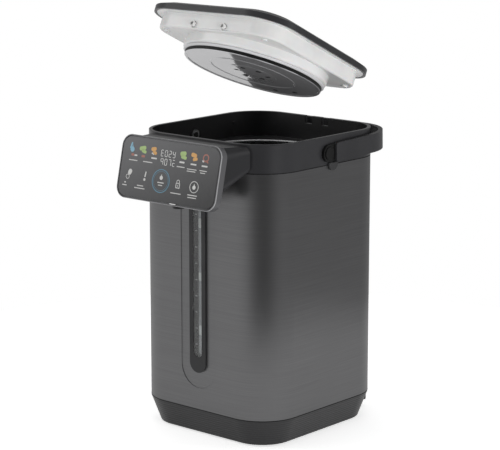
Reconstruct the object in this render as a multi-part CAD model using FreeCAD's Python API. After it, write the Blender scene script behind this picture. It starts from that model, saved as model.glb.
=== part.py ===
"""Electric thermo pot, 5 litre class, lid lifted off as photographed. Millimetres, +Z up.

The origin is on the pot's vertical axis at the surface that it stands on. The gauge and
the control panel face -Y, and the lid's hinge is at +Y.
"""
import FreeCAD
import Part

import math
import os

from FreeCAD import Rotation, Vector

os.makedirs("parts", exist_ok=True)

# Overall
body_width = 196.0
body_depth = 204.5
body_corner = 46.0
seam_base = 31.5
seam_collar = 301.0
rim_top = 332.0
fit_gap = 0.3
seat_gap = 0.1

# Outer shell, base and feet
shell_wall = 1.6
base_wall = 2.5
base_taper = 11.5
foot_height = 2.0
foot_radius = 70.0
foot_width = 9.0
foot_seat = 0.8
cover_plate = 2.5
cover_ledge = 4.0
screw_radius = 1.5
screw_head = 3.2
screw_head_height = 1.6
screw_x = 79.0
screw_y = 44.0
boss_radius = 4.5

# Inner container
mouth_radius = 80.0
container_wall = 0.8
container_lip = 4.5
lip_height = 1.2
lip_top = 304.5
container_floor = 56.0
outlet_radius = 7.0
outlet_wall = 1.0
outlet_length = 8.0
wrap_thickness = 8.0
wrap_bottom = 62.0
heater_radius = 52.0
heater_hole = 12.0
heater_thickness = 4.0
sensor_radius = 8.0
sensor_height = 6.0
sensor_place = 30.0

# Collar
collar_wall = 4.0
deck_bottom = 300.2
deck_thickness = 3.1
rim_chamfer = 0.8
notch_width = 9.0
notch_depth = 9.0
notch_offset = 12.0
stud_radius = 1.6
stud_length = 2.0

# Spout head and control panel
panel_width = 143.0
panel_height = 68.6
panel_corner = 13.0
panel_lean = 12.6
panel_top_y = -141.0
panel_top_z = 335.0
frame_depth = 9.0
frame_lip = 2.2
glass_thickness = 1.6
glass_inset = 0.4
pocket_depth = 6.5
pocket_rim = 6.0
board_thickness = 1.6
head_back_width = 148.0
head_front_width = 132.0
head_back_bottom = 301.4
head_back_top = 330.0
head_front_drop = 14.0
head_front_top = 2.0
head_wall = 2.5
head_corner = 8.0
throat_width = 30.0
throat_bottom = 281.0
throat_front = -133.0
nozzle_y = -132.0
nozzle_radius = 7.0
nozzle_bore = 4.0
nozzle_bottom = 260.5
nozzle_cap = 4.0
spigot_length = 12.0

# Water gauge
gauge_width = 23.0
gauge_bottom = 73.5
gauge_top = 274.0
gauge_stand = 1.6
gauge_back = 4.0
recess_width = 50.0
recess_bottom = 56.0
recess_depth = 0.7
window_width = 12.0
window_bottom = 91.0
window_top = 262.0
window_thickness = 1.5
tube_outer = 5.0
tube_wall = 1.2
tube_y = -90.0
tube_bottom = 66.0
tube_top = 280.0
hose_wall = 1.6
hose_overlap = 10.0
hose_bend = 9.0
hose_rest = 0.6
hose_bore_clear = 0.05

# Pump
pump_x = 0.0
pump_y = -42.0
pump_radius = 21.0
pump_wall = 2.5
pump_chamber = 11.0
pump_top = 44.0
pump_lid = 2.5
impeller_radius = 15.0
impeller_gap = 1.2
blade_count = 6
blade_thickness = 1.6
hub_radius = 5.0
shaft_radius = 2.0
shaft_clear = 0.05
motor_radius = 17.0
outlet_z = 38.5
outlet_reach = 32.0

# Power board and inlet
board_width = 96.0
board_depth = 56.0
board_y = 42.0
board_z = 15.0
transformer_height = 16.0
capacitor_height = 18.0
relay_height = 12.0
connector_height = 9.0
inlet_left = 28.0
inlet_right = 62.0
inlet_back = 115.5
inlet_bottom = 6.0
inlet_top = 23.0
inlet_front = 84.0
pin_radius = 1.8
pin_length = 7.0
pin_spacing = 9.0

# Lid, in its closed place
lid_y = -1.0
lid_seat = 332.3
cover_width = 191.0
cover_depth = 200.5
cover_corner = 42.0
cover_edge = 6.0
cover_crown = 5.0
cover_crown_inset = 12.0
cover_wall = 2.4
tub_width = 171.5
tub_depth = 175.0
tub_corner = 29.0
tub_height = 16.5
tub_wall = 2.2
flange_thickness = 1.2
flange_inset = 3.0
plug_radius = 81.0
plug_fillet = 3.5
plug_gap = 0.5
seal_radius = 79.7
seal_inner = 70.0
seal_height = 2.8
disc_radius = 77.2
disc_height = 4.2
disc_wall = 0.8
disc_round = 2.0
slot_long = 5.0
slot_wide = 2.2
slot_circle = 18.0
slot_count = 6
back_slot_x = 14.0
back_slot_y = 61.5
valve_radius = 10.0
valve_y = 44.0
vent_shift = 5.0
vent_half_length = 4.0
vent_half_width = 1.0
vent_spacing = 14.0
lid_screw_x = 70.0
lid_screw_y = 74.0

# Lid hinge and how the lid is held off the pot
hinge_y = 94.0
hinge_z = 336.3
axle_radius = 2.0
axle_clear = 0.05
axle_length = 34.0
hook_width = 8.0
hook_thickness = 2.4
hook_drop = 17.0
hook_clear = 0.4
knuckle_half = 22.0
lid_open = 24.9
lid_lift = 51.3
lift_lean = 6.8

# Lid latch
peg_spread = 21.5
peg_radius = 3.2
peg_bore = 2.0
peg_reach = 3.5
peg_drop = 11.0
peg_clear = 0.3
bar_depth = 7.0
bar_height = 5.6
spring_strip = 0.4
spring_bow = 4.0
keeper_depth = 7.0
keeper_height = 11.0
button_width = 34.0
button_depth = 15.0
button_y = -76.0

# Carrying handle
pivot_y = -4.0
pivot_z = 314.0
pivot_radius = 9.4
pivot_pin = 3.0
pivot_clear = 0.05
eye_gap = 0.4
bail_thickness = 5.0
bail_height = 20.5
bail_gap = 1.0
bail_back = 120.5
bail_corner = 47.0
bail_rise = 1.8
bail_start = 9.0
eye_thickness = 3.0
pin_head = 7.0
lug_width = 15.0
lug_front = -3.0
lug_bottom = 294.5
lug_thickness = 2.6


def rounded_outline(width, depth, radius, z):
    """A closed wire: a rectangle with round corners, centred on the axis, at height z."""
    x = width / 2 - radius
    y = depth / 2 - radius
    edges = []
    corners = ((x, y, 0), (-x, y, 90), (-x, -y, 180), (x, -y, 270))
    for index, (cx, cy, start) in enumerate(corners):
        arc = [Vector(cx + radius * math.cos(math.radians(start + turn)),
                      cy + radius * math.sin(math.radians(start + turn)), z)
               for turn in (0, 45, 90)]
        edges.append(Part.Arc(*arc).toShape())
        nx, ny, following = corners[(index + 1) % 4]
        end = Vector(nx + radius * math.cos(math.radians(following)),
                     ny + radius * math.sin(math.radians(following)), z)
        if (end - arc[2]).Length > 1e-6:
            edges.append(Part.LineSegment(arc[2], end).toShape())
    return Part.Wire(edges)


def rounded_block(width, depth, radius, bottom, top, y=0.0):
    """A prism on a round-cornered rectangle."""
    face = Part.Face(rounded_outline(width, depth, radius, bottom))
    block = face.extrude(Vector(0, 0, top - bottom))
    block.translate(Vector(0, y, 0))
    return block


def rounded_loft(lower, upper):
    """A solid between two round-cornered outlines, each (width, depth, radius, z)."""
    return Part.makeLoft([rounded_outline(*lower), rounded_outline(*upper)], True, True)


def cylinder(radius, bottom, top, x=0.0, y=0.0):
    return Part.makeCylinder(radius, top - bottom, Vector(x, y, bottom))


def tube(outer, inner, bottom, top, x=0.0, y=0.0):
    return cylinder(outer, bottom, top, x, y).cut(cylinder(inner, bottom - 1, top + 1, x, y))


def box(x0, x1, y0, y1, z0, z1):
    return Part.makeBox(x1 - x0, y1 - y0, z1 - z0, Vector(x0, y0, z0))


def capsule(width, bottom, top, front, back):
    """An upright slot shape with round ends, through the depth from front to back."""
    radius = width / 2
    points = [Vector(-radius, front, bottom + radius), Vector(0, front, bottom),
              Vector(radius, front, bottom + radius), Vector(radius, front, top - radius),
              Vector(0, front, top), Vector(-radius, front, top - radius)]
    edges = [Part.Arc(points[0], points[1], points[2]).toShape(),
             Part.LineSegment(points[2], points[3]).toShape(),
             Part.Arc(points[3], points[4], points[5]).toShape(),
             Part.LineSegment(points[5], points[0]).toShape()]
    return Part.Face(Part.Wire(edges)).extrude(Vector(0, back - front, 0))


def rod(radius, start, end):
    start = Vector(*start)
    way = Vector(*end) - start
    return Part.makeCylinder(radius, way.Length, start, way)


def bent_rod(radius, points, bend):
    """A round rod along straight runs joined by tangent arcs."""
    points = [Vector(*point) for point in points]
    edges = []
    start = points[0]
    for before, corner, after in zip(points, points[1:], points[2:]):
        back = (before - corner).normalize()
        ahead = (after - corner).normalize()
        turn = math.pi - back.getAngle(ahead)
        reach = bend * math.tan(turn / 2)
        first = corner + back * reach
        last = corner + ahead * reach
        middle_way = (back + ahead).normalize()
        middle = corner + middle_way * (bend / math.cos(turn / 2) - bend)
        edges.append(Part.LineSegment(start, first).toShape())
        edges.append(Part.Arc(first, middle, last).toShape())
        start = last
    edges.append(Part.LineSegment(start, points[-1]).toShape())
    path = Part.Wire(edges)
    ring = Part.Wire(Part.makeCircle(radius, points[0], points[1] - points[0]))
    return path.makePipeShell([ring], True, True)


def bent_tube(outer, inner, points, bend):
    return bent_rod(outer, points, bend).cut(bent_rod(inner, points, bend))


def joined(shapes):
    return shapes[0].multiFuse(shapes[1:]).removeSplitter()


def on_panel(shape):
    """Move a shape drawn flat, with its top edge middle at the origin and its front face
    down on z = 0, onto the leaning panel. Its y runs down the panel and z into it."""
    placed = shape.copy()
    down = Vector(0, -math.sin(math.radians(panel_lean)), -math.cos(math.radians(panel_lean)))
    into = Vector(0, math.cos(math.radians(panel_lean)), -math.sin(math.radians(panel_lean)))
    right = down.cross(into)
    matrix = FreeCAD.Matrix(right.x, down.x, into.x, 0,
                            right.y, down.y, into.y, panel_top_y,
                            right.z, down.z, into.z, panel_top_z,
                            0, 0, 0, 1)
    placed.transformShape(matrix)
    return placed


def panel_block(width, height, radius, near, far):
    """A flat round-cornered block centred on the panel, from depth near to depth far."""
    block = rounded_block(width, height, radius, near, far, y=panel_height / 2)
    return on_panel(block)


def lifted(shape):
    """Move a piece of the lid from its closed place to where it is held off the pot."""
    placed = shape.copy()
    axle = Vector(0, hinge_y, hinge_z)
    placed.rotate(axle, Vector(1, 0, 0), -lid_open)
    lean = math.radians(lift_lean)
    placed.translate(Vector(0, -math.sin(lean), math.cos(lean)) * lid_lift)
    return placed


def risen(shape):
    """Turn a handle piece from level to its rest place, a little up at the back."""
    placed = shape.copy()
    placed.rotate(Vector(0, pivot_y, pivot_z), Vector(1, 0, 0), bail_rise)
    return placed


# Places that several pieces share
front_face = -body_depth / 2
side_face = body_width / 2
deck_top = deck_bottom + deck_thickness
gauge_front = front_face - gauge_stand
throat_inner = throat_width / 2 - head_wall
hose_outer = tube_outer + hose_bore_clear + hose_wall
hose_level = throat_bottom + head_wall + hose_outer + hose_rest
inner_width = body_width - 2 * collar_wall
inner_depth = body_depth - 2 * collar_wall
cover_bottom = foot_height
cover_top = cover_bottom + cover_plate
motor_top = pump_top - pump_chamber - pump_wall
shaft_bottom = motor_top - 10.0
screw_points = [(sx * screw_x, sy * screw_y) for sx in (-1, 1) for sy in (-1, 1)]
lid_screw_points = [(sx * lid_screw_x, lid_y + sy * lid_screw_y)
                    for sx in (-1, 1) for sy in (-1, 1)]
stand_points = [(sx * (board_width / 2 - 6), board_y + sy * (board_depth / 2 - 6))
                for sx in (-1, 1) for sy in (-1, 1)]


def inlet_pocket(clearance):
    return box(inlet_left - clearance, inlet_right + clearance, inlet_front - clearance,
               inlet_back + 5, inlet_bottom - clearance, inlet_top + clearance)


def taper_at(z):
    """How far the base's side lies inside the body's side at height z."""
    return base_taper * (seam_base - z) / seam_base


def base_outline(z, inset):
    back = 2 * (taper_at(z) + inset)
    return (body_width - back, body_depth - back, body_corner - taper_at(z) - inset, z)


def make_base_housing():
    outside = rounded_loft(base_outline(cover_bottom, 0), base_outline(seam_base, 0))
    inside = rounded_loft(base_outline(cover_bottom - 0.01, base_wall),
                          base_outline(seam_base + 0.01, base_wall))
    ledge = rounded_loft(base_outline(cover_top, base_wall / 2),
                         base_outline(cover_top + cover_plate, base_wall / 2))
    opening = rounded_loft(base_outline(cover_top - 1, base_wall + cover_ledge),
                           base_outline(cover_top + cover_plate + 1, base_wall + cover_ledge))
    bosses = [cylinder(boss_radius, cover_top, cover_top + 8, x, y) for x, y in screw_points]
    shape = joined([outside.cut(inside), ledge.cut(opening)] + bosses)
    for x, y in screw_points:
        shape = shape.cut(cylinder(screw_radius, cover_top - 1, cover_top + 7, x, y))
    return shape.cut(inlet_pocket(seat_gap))


def make_bottom_cover():
    inset = base_wall + seat_gap
    plate = rounded_block(body_width - 2 * (base_taper + inset),
                          body_depth - 2 * (base_taper + inset),
                          body_corner - base_taper - inset, cover_bottom, cover_top)
    cuts = [tube(foot_radius + foot_width, foot_radius, cover_bottom - 1,
                 cover_bottom + foot_seat)]
    for x, y in screw_points:
        cuts.append(cylinder(screw_radius + seat_gap, cover_bottom - 1, cover_top + 1, x, y))
        cuts.append(cylinder(screw_head + seat_gap, cover_bottom - 1,
                             cover_bottom + screw_head_height, x, y))
    for index in range(7):
        x = (index - 3) * 9.0
        cuts.append(box(x - 1.5, x + 1.5, -22, 22, cover_bottom - 1, cover_top + 1))
    plate = plate.cut(Part.makeCompound(cuts))
    stands = [tube(3.5, 1.2, cover_top - 0.01, board_z, x, y) for x, y in stand_points]
    cradle = tube(motor_radius + seat_gap + 2, motor_radius + seat_gap, cover_top - 0.01,
                  cover_top + 5, pump_x, pump_y)
    return joined([plate] + stands + [cradle])


def make_foot_ring():
    return tube(foot_radius + foot_width, foot_radius, 0, cover_bottom + foot_seat)


def make_bottom_screws():
    screws = []
    for x, y in screw_points:
        head = cylinder(screw_head, cover_bottom, cover_bottom + screw_head_height, x, y)
        slot = box(x - 2, x + 2, y - 0.4, y + 0.4, cover_bottom - 1, cover_bottom + 0.8)
        shank = cylinder(screw_radius, cover_bottom, cover_top + 6, x, y)
        screws.append(joined([head, shank]).cut(slot))
    return Part.makeCompound(screws)


def make_outer_shell():
    outside = rounded_block(body_width, body_depth, body_corner, seam_base, seam_collar - fit_gap)
    inside = rounded_block(body_width - 2 * shell_wall, body_depth - 2 * shell_wall,
                           body_corner - shell_wall, seam_base - 1, seam_collar + 1)
    recess = capsule(recess_width, recess_bottom, seam_collar - 5,
                     front_face - 1, front_face + recess_depth)
    slot = capsule(gauge_width - 6 + seat_gap, gauge_bottom + 3, gauge_top - 3,
                   front_face - 1, front_face + 10)
    throat = box(-throat_inner, throat_inner, front_face - 1, front_face + 10,
                 throat_bottom + head_wall, seam_collar)
    return outside.cut(inside).cut(recess).cut(slot).cut(throat)


def make_inner_container():
    outer = mouth_radius + container_wall
    wall = tube(outer, mouth_radius, container_floor - container_wall, lip_top)
    floor = cylinder(outer, container_floor - container_wall, container_floor)
    lip = tube(outer + container_lip, mouth_radius, lip_top - lip_height, lip_top)
    nipple = cylinder(outlet_radius, container_floor - outlet_length, container_floor,
                      pump_x, pump_y)
    shape = joined([wall, floor, lip, nipple])
    bore = cylinder(outlet_radius - outlet_wall, container_floor - outlet_length - 1,
                    container_floor + 1, pump_x, pump_y)
    return shape.cut(bore)


def make_insulation_wrap():
    inner = mouth_radius + container_wall
    wrap = tube(inner + wrap_thickness, inner, wrap_bottom, deck_bottom - 8)
    channel_front = tube_y - hose_outer - 2
    channel = box(-hose_outer - 2, hose_outer + 2, channel_front,
                  tube_y + hose_outer + 1, wrap_bottom - 1, deck_bottom)
    return wrap.cut(channel)


def make_heater_plate():
    top = container_floor - container_wall
    ring = cylinder(heater_radius, top - heater_thickness, top, 0, 8)
    hole = cylinder(heater_hole, top - heater_thickness - 1, top + 1, pump_x, pump_y)
    return ring.cut(hole)


def make_thermostat():
    top = container_floor - container_wall - heater_thickness
    cap = cylinder(sensor_radius, top - sensor_height, top, sensor_place, sensor_place)
    blades = [box(sensor_place + side - 0.4, sensor_place + side + 0.4, sensor_place - 3,
                  sensor_place + 3, top - sensor_height - 7, top - sensor_height)
              for side in (-4, 4)]
    return joined([cap] + blades)


def make_thermal_fuse():
    top = container_floor - container_wall - heater_thickness
    bracket = box(-36, -16, 24, 32, top - 1, top)
    body = rod(2.6, (-34, 28, top - 3.4), (-18, 28, top - 3.4))
    return joined([bracket, body])


def make_top_collar():
    outside = rounded_block(body_width, body_depth, body_corner, seam_collar, rim_top)
    rim_edges = [edge for edge in outside.Edges
                 if all(abs(v.Point.z - rim_top) < 0.01 for v in edge.Vertexes)]
    outside = outside.makeChamfer(rim_chamfer, rim_edges)
    inside = rounded_block(inner_width, inner_depth, body_corner - collar_wall,
                           seam_collar - 1, rim_top + 1)
    wall = outside.cut(inside)
    deck = rounded_block(body_width - 2 * shell_wall - 2 * fit_gap,
                         body_depth - 2 * shell_wall - 2 * fit_gap,
                         body_corner - shell_wall - fit_gap, deck_bottom, deck_top)
    deck = deck.common(rounded_block(inner_width + 1, inner_depth + 1,
                                     body_corner - collar_wall + 0.5, deck_bottom, deck_top))
    deck = deck.cut(cylinder(mouth_radius + container_wall + seat_gap,
                             deck_bottom - 1, deck_top + 1))
    skirt_width = body_width - 2 * shell_wall - 2 * fit_gap
    skirt_depth = body_depth - 2 * shell_wall - 2 * fit_gap
    skirt_corner = body_corner - shell_wall - fit_gap
    skirt = rounded_block(skirt_width, skirt_depth, skirt_corner,
                          deck_bottom - 5, seam_collar + 0.5)
    skirt = skirt.cut(rounded_block(skirt_width - 4, skirt_depth - 4, skirt_corner - 2,
                                    deck_bottom - 6, seam_collar + 1))
    shape = joined([wall, deck, skirt])
    for side in (-1, 1):
        x = side * notch_offset
        shape = shape.cut(box(x - notch_width / 2, x + notch_width / 2,
                              body_depth / 2 - collar_wall - 1, body_depth / 2 + 1,
                              rim_top - notch_depth, rim_top + 1))
    studs = [rod(stud_radius, (side * (inner_width / 2 - stud_length), 62, rim_top - 12),
                 (side * (inner_width / 2 + 1), 62, rim_top - 12)) for side in (-1, 1)]
    shape = joined([shape] + studs)
    throat = box(-throat_inner, throat_inner, front_face - 1,
                 front_face + shell_wall + fit_gap + 4, deck_bottom - 6, deck_bottom)
    shape = shape.cut(throat)
    pockets = [pin_bore(side) for side in (-1, 1)]
    return shape.cut(Part.makeCompound(pockets))


def pin_bore(side):
    """The bore in the collar's side wall for one handle pin."""
    inner = side * (side_face - collar_wall - 1)
    outer = side * (side_face + 1)
    return rod(pivot_pin + pivot_clear, (inner, pivot_y, pivot_z), (outer, pivot_y, pivot_z))


def head_section(width, bottom, top, radius, y_bottom, y_top):
    """A round-cornered outline for the spout head, upright or leaning."""
    height = math.hypot(top - bottom, y_top - y_bottom)
    wire = rounded_outline(width, height, radius, 0)
    lean = math.atan2(y_top - y_bottom, top - bottom)
    placement = FreeCAD.Placement(Vector(0, (y_bottom + y_top) / 2, (bottom + top) / 2),
                                  Rotation(Vector(1, 0, 0), 90 - math.degrees(lean)))
    wire = wire.copy()
    wire.transformShape(placement.toMatrix())
    return wire


def panel_point(down, depth):
    """The y and z of a point this far down the panel's face and this deep behind it."""
    lean = math.radians(panel_lean)
    return (panel_top_y - down * math.sin(lean) + depth * math.cos(lean),
            panel_top_z - down * math.cos(lean) - depth * math.sin(lean))


def head_solid(inset):
    """The spout head's outer form, from the collar's front to the back of the frame."""
    start = front_face - 0.01
    y_low, z_low = panel_point(panel_height - head_front_drop, frame_depth)
    y_high, z_high = panel_point(head_front_top, frame_depth)
    back = head_section(head_back_width - 2 * inset, head_back_bottom + inset,
                        head_back_top - inset, head_corner - inset / 2, start, start)
    front = head_section(head_front_width - 2 * inset, z_low + inset, z_high - inset,
                         head_corner - inset / 2, y_low, y_high)
    return Part.makeLoft([back, front], True, True)


def make_spout_head():
    outer = head_solid(0)
    keel = box(-throat_width / 2, throat_width / 2, throat_front, front_face - 0.01,
               throat_bottom, head_back_bottom + 8)
    keel_hollow = box(-throat_inner, throat_inner, throat_front + head_wall, front_face + 1,
                      throat_bottom + head_wall, head_back_bottom + 9)
    shape = joined([outer, keel]).cut(head_solid(head_wall)).cut(keel_hollow)
    shape = shape.cut(cylinder(nozzle_radius + seat_gap, throat_bottom - 20,
                               hose_level + nozzle_radius, 0, nozzle_y))
    slot = capsule(gauge_width + 2 * seat_gap, gauge_bottom, gauge_top + seat_gap,
                   gauge_front - 1, front_face)
    return shape.cut(slot)


def make_panel_frame():
    block = panel_block(panel_width, panel_height, panel_corner, 0, frame_depth)
    face_edges = []
    y_face, z_face = panel_point(panel_height / 2, 0)
    into = Vector(0, math.cos(math.radians(panel_lean)), -math.sin(math.radians(panel_lean)))
    for edge in block.Edges:
        depths = [(v.Point - Vector(0, y_face, z_face)).dot(into) for v in edge.Vertexes]
        if all(abs(depth) < 0.01 for depth in depths):
            face_edges.append(edge)
    block = block.makeChamfer(frame_lip / 2, face_edges)
    seat = panel_block(panel_width - 2 * frame_lip, panel_height - 2 * frame_lip,
                       panel_corner - frame_lip, -1, glass_inset + glass_thickness)
    pocket = panel_block(panel_width - 2 * pocket_rim, panel_height - 2 * pocket_rim,
                         panel_corner - pocket_rim, -1, pocket_depth)
    ways = panel_block(40, 20, 3, -1, frame_depth + 1)
    return block.cut(seat).cut(pocket).cut(ways)


def make_panel_glass():
    side = frame_lip + seat_gap
    return panel_block(panel_width - 2 * side, panel_height - 2 * side, panel_corner - side,
                       glass_inset, glass_inset + glass_thickness)


def make_display_board():
    near = pocket_depth - board_thickness
    plate = panel_block(panel_width - 2 * pocket_rim - 2, panel_height - 2 * pocket_rim - 2,
                        panel_corner - pocket_rim - 1, near, pocket_depth)
    digits = panel_block(30, 18, 2, glass_inset + glass_thickness + 0.2, near)
    return joined([plate, digits])


def make_spout_nozzle():
    top = hose_level + nozzle_radius
    body = cylinder(nozzle_radius, nozzle_bottom, top, 0, nozzle_y)
    spigot_end = nozzle_y + nozzle_radius + spigot_length
    spigot = rod(tube_outer, (0, nozzle_y, hose_level), (0, spigot_end, hose_level))
    shape = joined([body, spigot])
    shape = shape.cut(cylinder(nozzle_bore, nozzle_bottom - 1, top - nozzle_cap, 0, nozzle_y))
    return shape.cut(rod(tube_outer - tube_wall, (0, nozzle_y, hose_level),
                         (0, spigot_end + 1, hose_level)))


def make_spout_hose():
    """From the top of the gauge tube up and forward onto the nozzle's spigot."""
    inner = tube_outer + hose_bore_clear
    points = [(0, tube_y, tube_top - hose_overlap), (0, tube_y, hose_level),
              (0, nozzle_y + nozzle_radius + 1, hose_level)]
    return bent_tube(inner + hose_wall, inner, points, hose_bend)


def make_gauge_tube():
    return tube(tube_outer, tube_outer - tube_wall, tube_bottom, tube_top, 0, tube_y)


def make_gauge_bezel():
    flange = capsule(gauge_width, gauge_bottom, gauge_top, gauge_front,
                     front_face + recess_depth)
    neck = capsule(gauge_width - 6, gauge_bottom + 3, gauge_top - 3, gauge_front,
                   front_face + gauge_back)
    shape = joined([flange, neck])
    window_seat = capsule(window_width + 2 * seat_gap, window_bottom - seat_gap,
                          window_top + seat_gap, gauge_front - 1,
                          gauge_front + 0.4 + window_thickness)
    opening = capsule(window_width - 3, window_bottom + 1.5, window_top - 1.5,
                      gauge_front - 1, front_face + gauge_back + 1)
    return shape.cut(window_seat).cut(opening)


def make_gauge_window():
    return capsule(window_width, window_bottom, window_top, gauge_front + 0.4,
                   gauge_front + 0.4 + window_thickness)


def make_pump_housing():
    base = motor_top
    shell = cylinder(pump_radius, base, pump_top + pump_lid, pump_x, pump_y)
    nipple = cylinder(outlet_radius, pump_top, container_floor - outlet_length - 0.5,
                      pump_x, pump_y)
    spigot_end = pump_y - outlet_reach
    spigot = rod(tube_outer, (pump_x, pump_y - pump_radius + pump_wall, outlet_z),
                 (pump_x, spigot_end, outlet_z))
    shape = joined([shell, nipple, spigot])
    shape = shape.cut(cylinder(pump_radius - pump_wall, base + pump_wall, pump_top,
                               pump_x, pump_y))
    shape = shape.cut(cylinder(outlet_radius - outlet_wall, pump_top - 1,
                               container_floor, pump_x, pump_y))
    shape = shape.cut(cylinder(shaft_radius + shaft_clear, base - 1, base + pump_wall + 1,
                               pump_x, pump_y))
    return shape.cut(rod(tube_outer - tube_wall, (pump_x, pump_y - pump_radius + 1, outlet_z),
                         (pump_x, spigot_end - 1, outlet_z)))


def make_pump_impeller():
    bottom = motor_top + pump_wall + impeller_gap
    top = pump_top - impeller_gap
    plate = cylinder(impeller_radius, bottom, bottom + 1.5, pump_x, pump_y)
    hub = cylinder(hub_radius, bottom, top, pump_x, pump_y)
    blades = []
    for index in range(blade_count):
        blade = box(hub_radius - 1, impeller_radius, -blade_thickness / 2,
                    blade_thickness / 2, bottom + 1, top)
        blade.rotate(Vector(0, 0, 0), Vector(0, 0, 1), index * 360 / blade_count)
        blade.translate(Vector(pump_x, pump_y, 0))
        blades.append(blade)
    shape = joined([plate, hub] + blades)
    return shape.cut(cylinder(shaft_radius, bottom - 1, top + 1, pump_x, pump_y))


def make_pump_shaft():
    top = pump_top - impeller_gap
    return cylinder(shaft_radius, shaft_bottom + fit_gap, top, pump_x, pump_y)


def make_pump_motor():
    can = cylinder(motor_radius, cover_top, motor_top, pump_x, pump_y)
    return can.cut(cylinder(shaft_radius + shaft_clear, shaft_bottom, motor_top + 1,
                            pump_x, pump_y))


def make_suction_sleeve():
    inner = outlet_radius + hose_bore_clear
    return tube(inner + hose_wall, inner, pump_top + pump_lid, container_floor - 2,
                pump_x, pump_y)


def make_delivery_hose():
    inner = tube_outer + hose_bore_clear
    points = [(pump_x, pump_y - pump_radius - 1, outlet_z), (0, tube_y, outlet_z),
              (0, tube_y, tube_bottom + hose_overlap)]
    return bent_tube(inner + hose_wall, inner, points, hose_bend)


def make_power_board():
    x = board_width / 2
    plate = box(-x, x, board_y - board_depth / 2, board_y + board_depth / 2,
                board_z, board_z + board_thickness)
    top = board_z + board_thickness
    transformer = box(-40, -14, board_y - 20, board_y + 4, top, top + transformer_height)
    main_capacitor = cylinder(8, top, top + capacitor_height, 2, board_y - 12)
    small_capacitor = cylinder(5, top, top + relay_height, 20, board_y - 16)
    relay = box(28, 42, board_y - 18, board_y + 6, top, top + relay_height)
    connector = box(-8, 30, board_y + 14, board_y + 20, top, top + connector_height)
    return joined([plate, transformer, main_capacitor, small_capacitor, relay, connector])


def make_power_inlet():
    block = inlet_pocket(0).common(box(inlet_left, inlet_right, inlet_front, inlet_back,
                                       inlet_bottom, inlet_top))
    recess = box(inlet_left + 3, inlet_right - 3, inlet_back - pin_length - 1.5,
                 inlet_back + 1, inlet_bottom + 3, inlet_top - 3)
    return block.cut(recess).cut(make_inlet_pins())


def make_inlet_pins():
    middle_x = (inlet_left + inlet_right) / 2
    middle_z = (inlet_bottom + inlet_top) / 2
    pins = [rod(pin_radius, (middle_x + step * pin_spacing, inlet_front + 8, middle_z),
                (middle_x + step * pin_spacing, inlet_back - 1.5, middle_z))
            for step in (-1, 0, 1)]
    return Part.makeCompound(pins)


def make_latch_keeper():
    z = lid_seat - peg_drop
    half = peg_spread + peg_radius + 4
    wall_y = -inner_depth / 2
    block = box(-half, half, wall_y, wall_y + keeper_depth, z - keeper_height / 2,
                z + keeper_height / 2)
    holes = [rod(peg_radius + 0.6, (side * peg_spread, wall_y + 2, z),
                 (side * peg_spread, wall_y + keeper_depth + 1, z)) for side in (-1, 1)]
    return block.cut(Part.makeCompound(holes))


def hook_slots(clearance):
    half = hook_width / 2 + clearance
    return Part.makeCompound([box(side * notch_offset - half, side * notch_offset + half,
                                  hinge_y - axle_radius - 1.6, body_depth,
                                  lid_seat - 8, lid_seat + 30) for side in (-1, 1)])


def make_lid_cover():
    bottom = lid_seat
    edge_top = bottom + cover_edge
    band = rounded_block(cover_width, cover_depth, cover_corner, bottom, edge_top, lid_y)
    low = [edge for edge in band.Edges
           if all(abs(v.Point.z - bottom) < 0.01 for v in edge.Vertexes)]
    band = band.makeChamfer(1.0, low)
    crown = rounded_loft((cover_width, cover_depth, cover_corner, edge_top),
                         (cover_width - 2 * cover_crown_inset,
                          cover_depth - 2 * cover_crown_inset,
                          cover_corner - cover_crown_inset, edge_top + cover_crown))
    crown.translate(Vector(0, lid_y, 0))
    shape = joined([band, crown])
    inset = 2 * cover_crown_inset + 2
    pocket = rounded_block(cover_width - inset, cover_depth - inset,
                           cover_corner - inset / 2, bottom + flange_thickness,
                           edge_top + cover_crown - cover_wall, lid_y)
    seat = rounded_block(cover_width - 2 * flange_inset, cover_depth - 2 * flange_inset,
                         cover_corner - flange_inset, bottom - 1,
                         bottom + flange_thickness, lid_y)
    knuckle = box(-knuckle_half, knuckle_half, hinge_y - 5, hinge_y + 4, bottom,
                  bottom + flange_thickness)
    shape = joined([shape.cut(pocket).cut(seat), knuckle])
    posts = [cylinder(4, bottom - tub_height + tub_wall, edge_top + cover_crown - 1, x, y)
             for x, y in lid_screw_points]
    shape = joined([shape] + posts)
    for x, y in lid_screw_points:
        shape = shape.cut(cylinder(screw_radius, bottom - tub_height, edge_top, x, y))
    shape = shape.cut(rod(axle_radius + axle_clear, (-axle_length / 2, hinge_y, hinge_z),
                          (axle_length / 2, hinge_y, hinge_z)))
    shape = shape.cut(hook_slots(hook_clear))
    vent_y = valve_y + vent_shift
    vents = [box(x - vent_half_length, x + vent_half_length, vent_y - vent_half_width,
                 vent_y + vent_half_width, edge_top, edge_top + cover_crown + 1)
             for x in (-vent_spacing, 0, vent_spacing)]
    return shape.cut(Part.makeCompound(vents)).cut(button_block(fit_gap, 30))



def button_block(clearance, rise):
    bottom = lid_seat + cover_edge - 3
    x = button_width / 2 + clearance
    y = button_depth / 2 + clearance
    return box(-x, x, button_y - y, button_y + y, bottom, bottom + rise)


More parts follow.
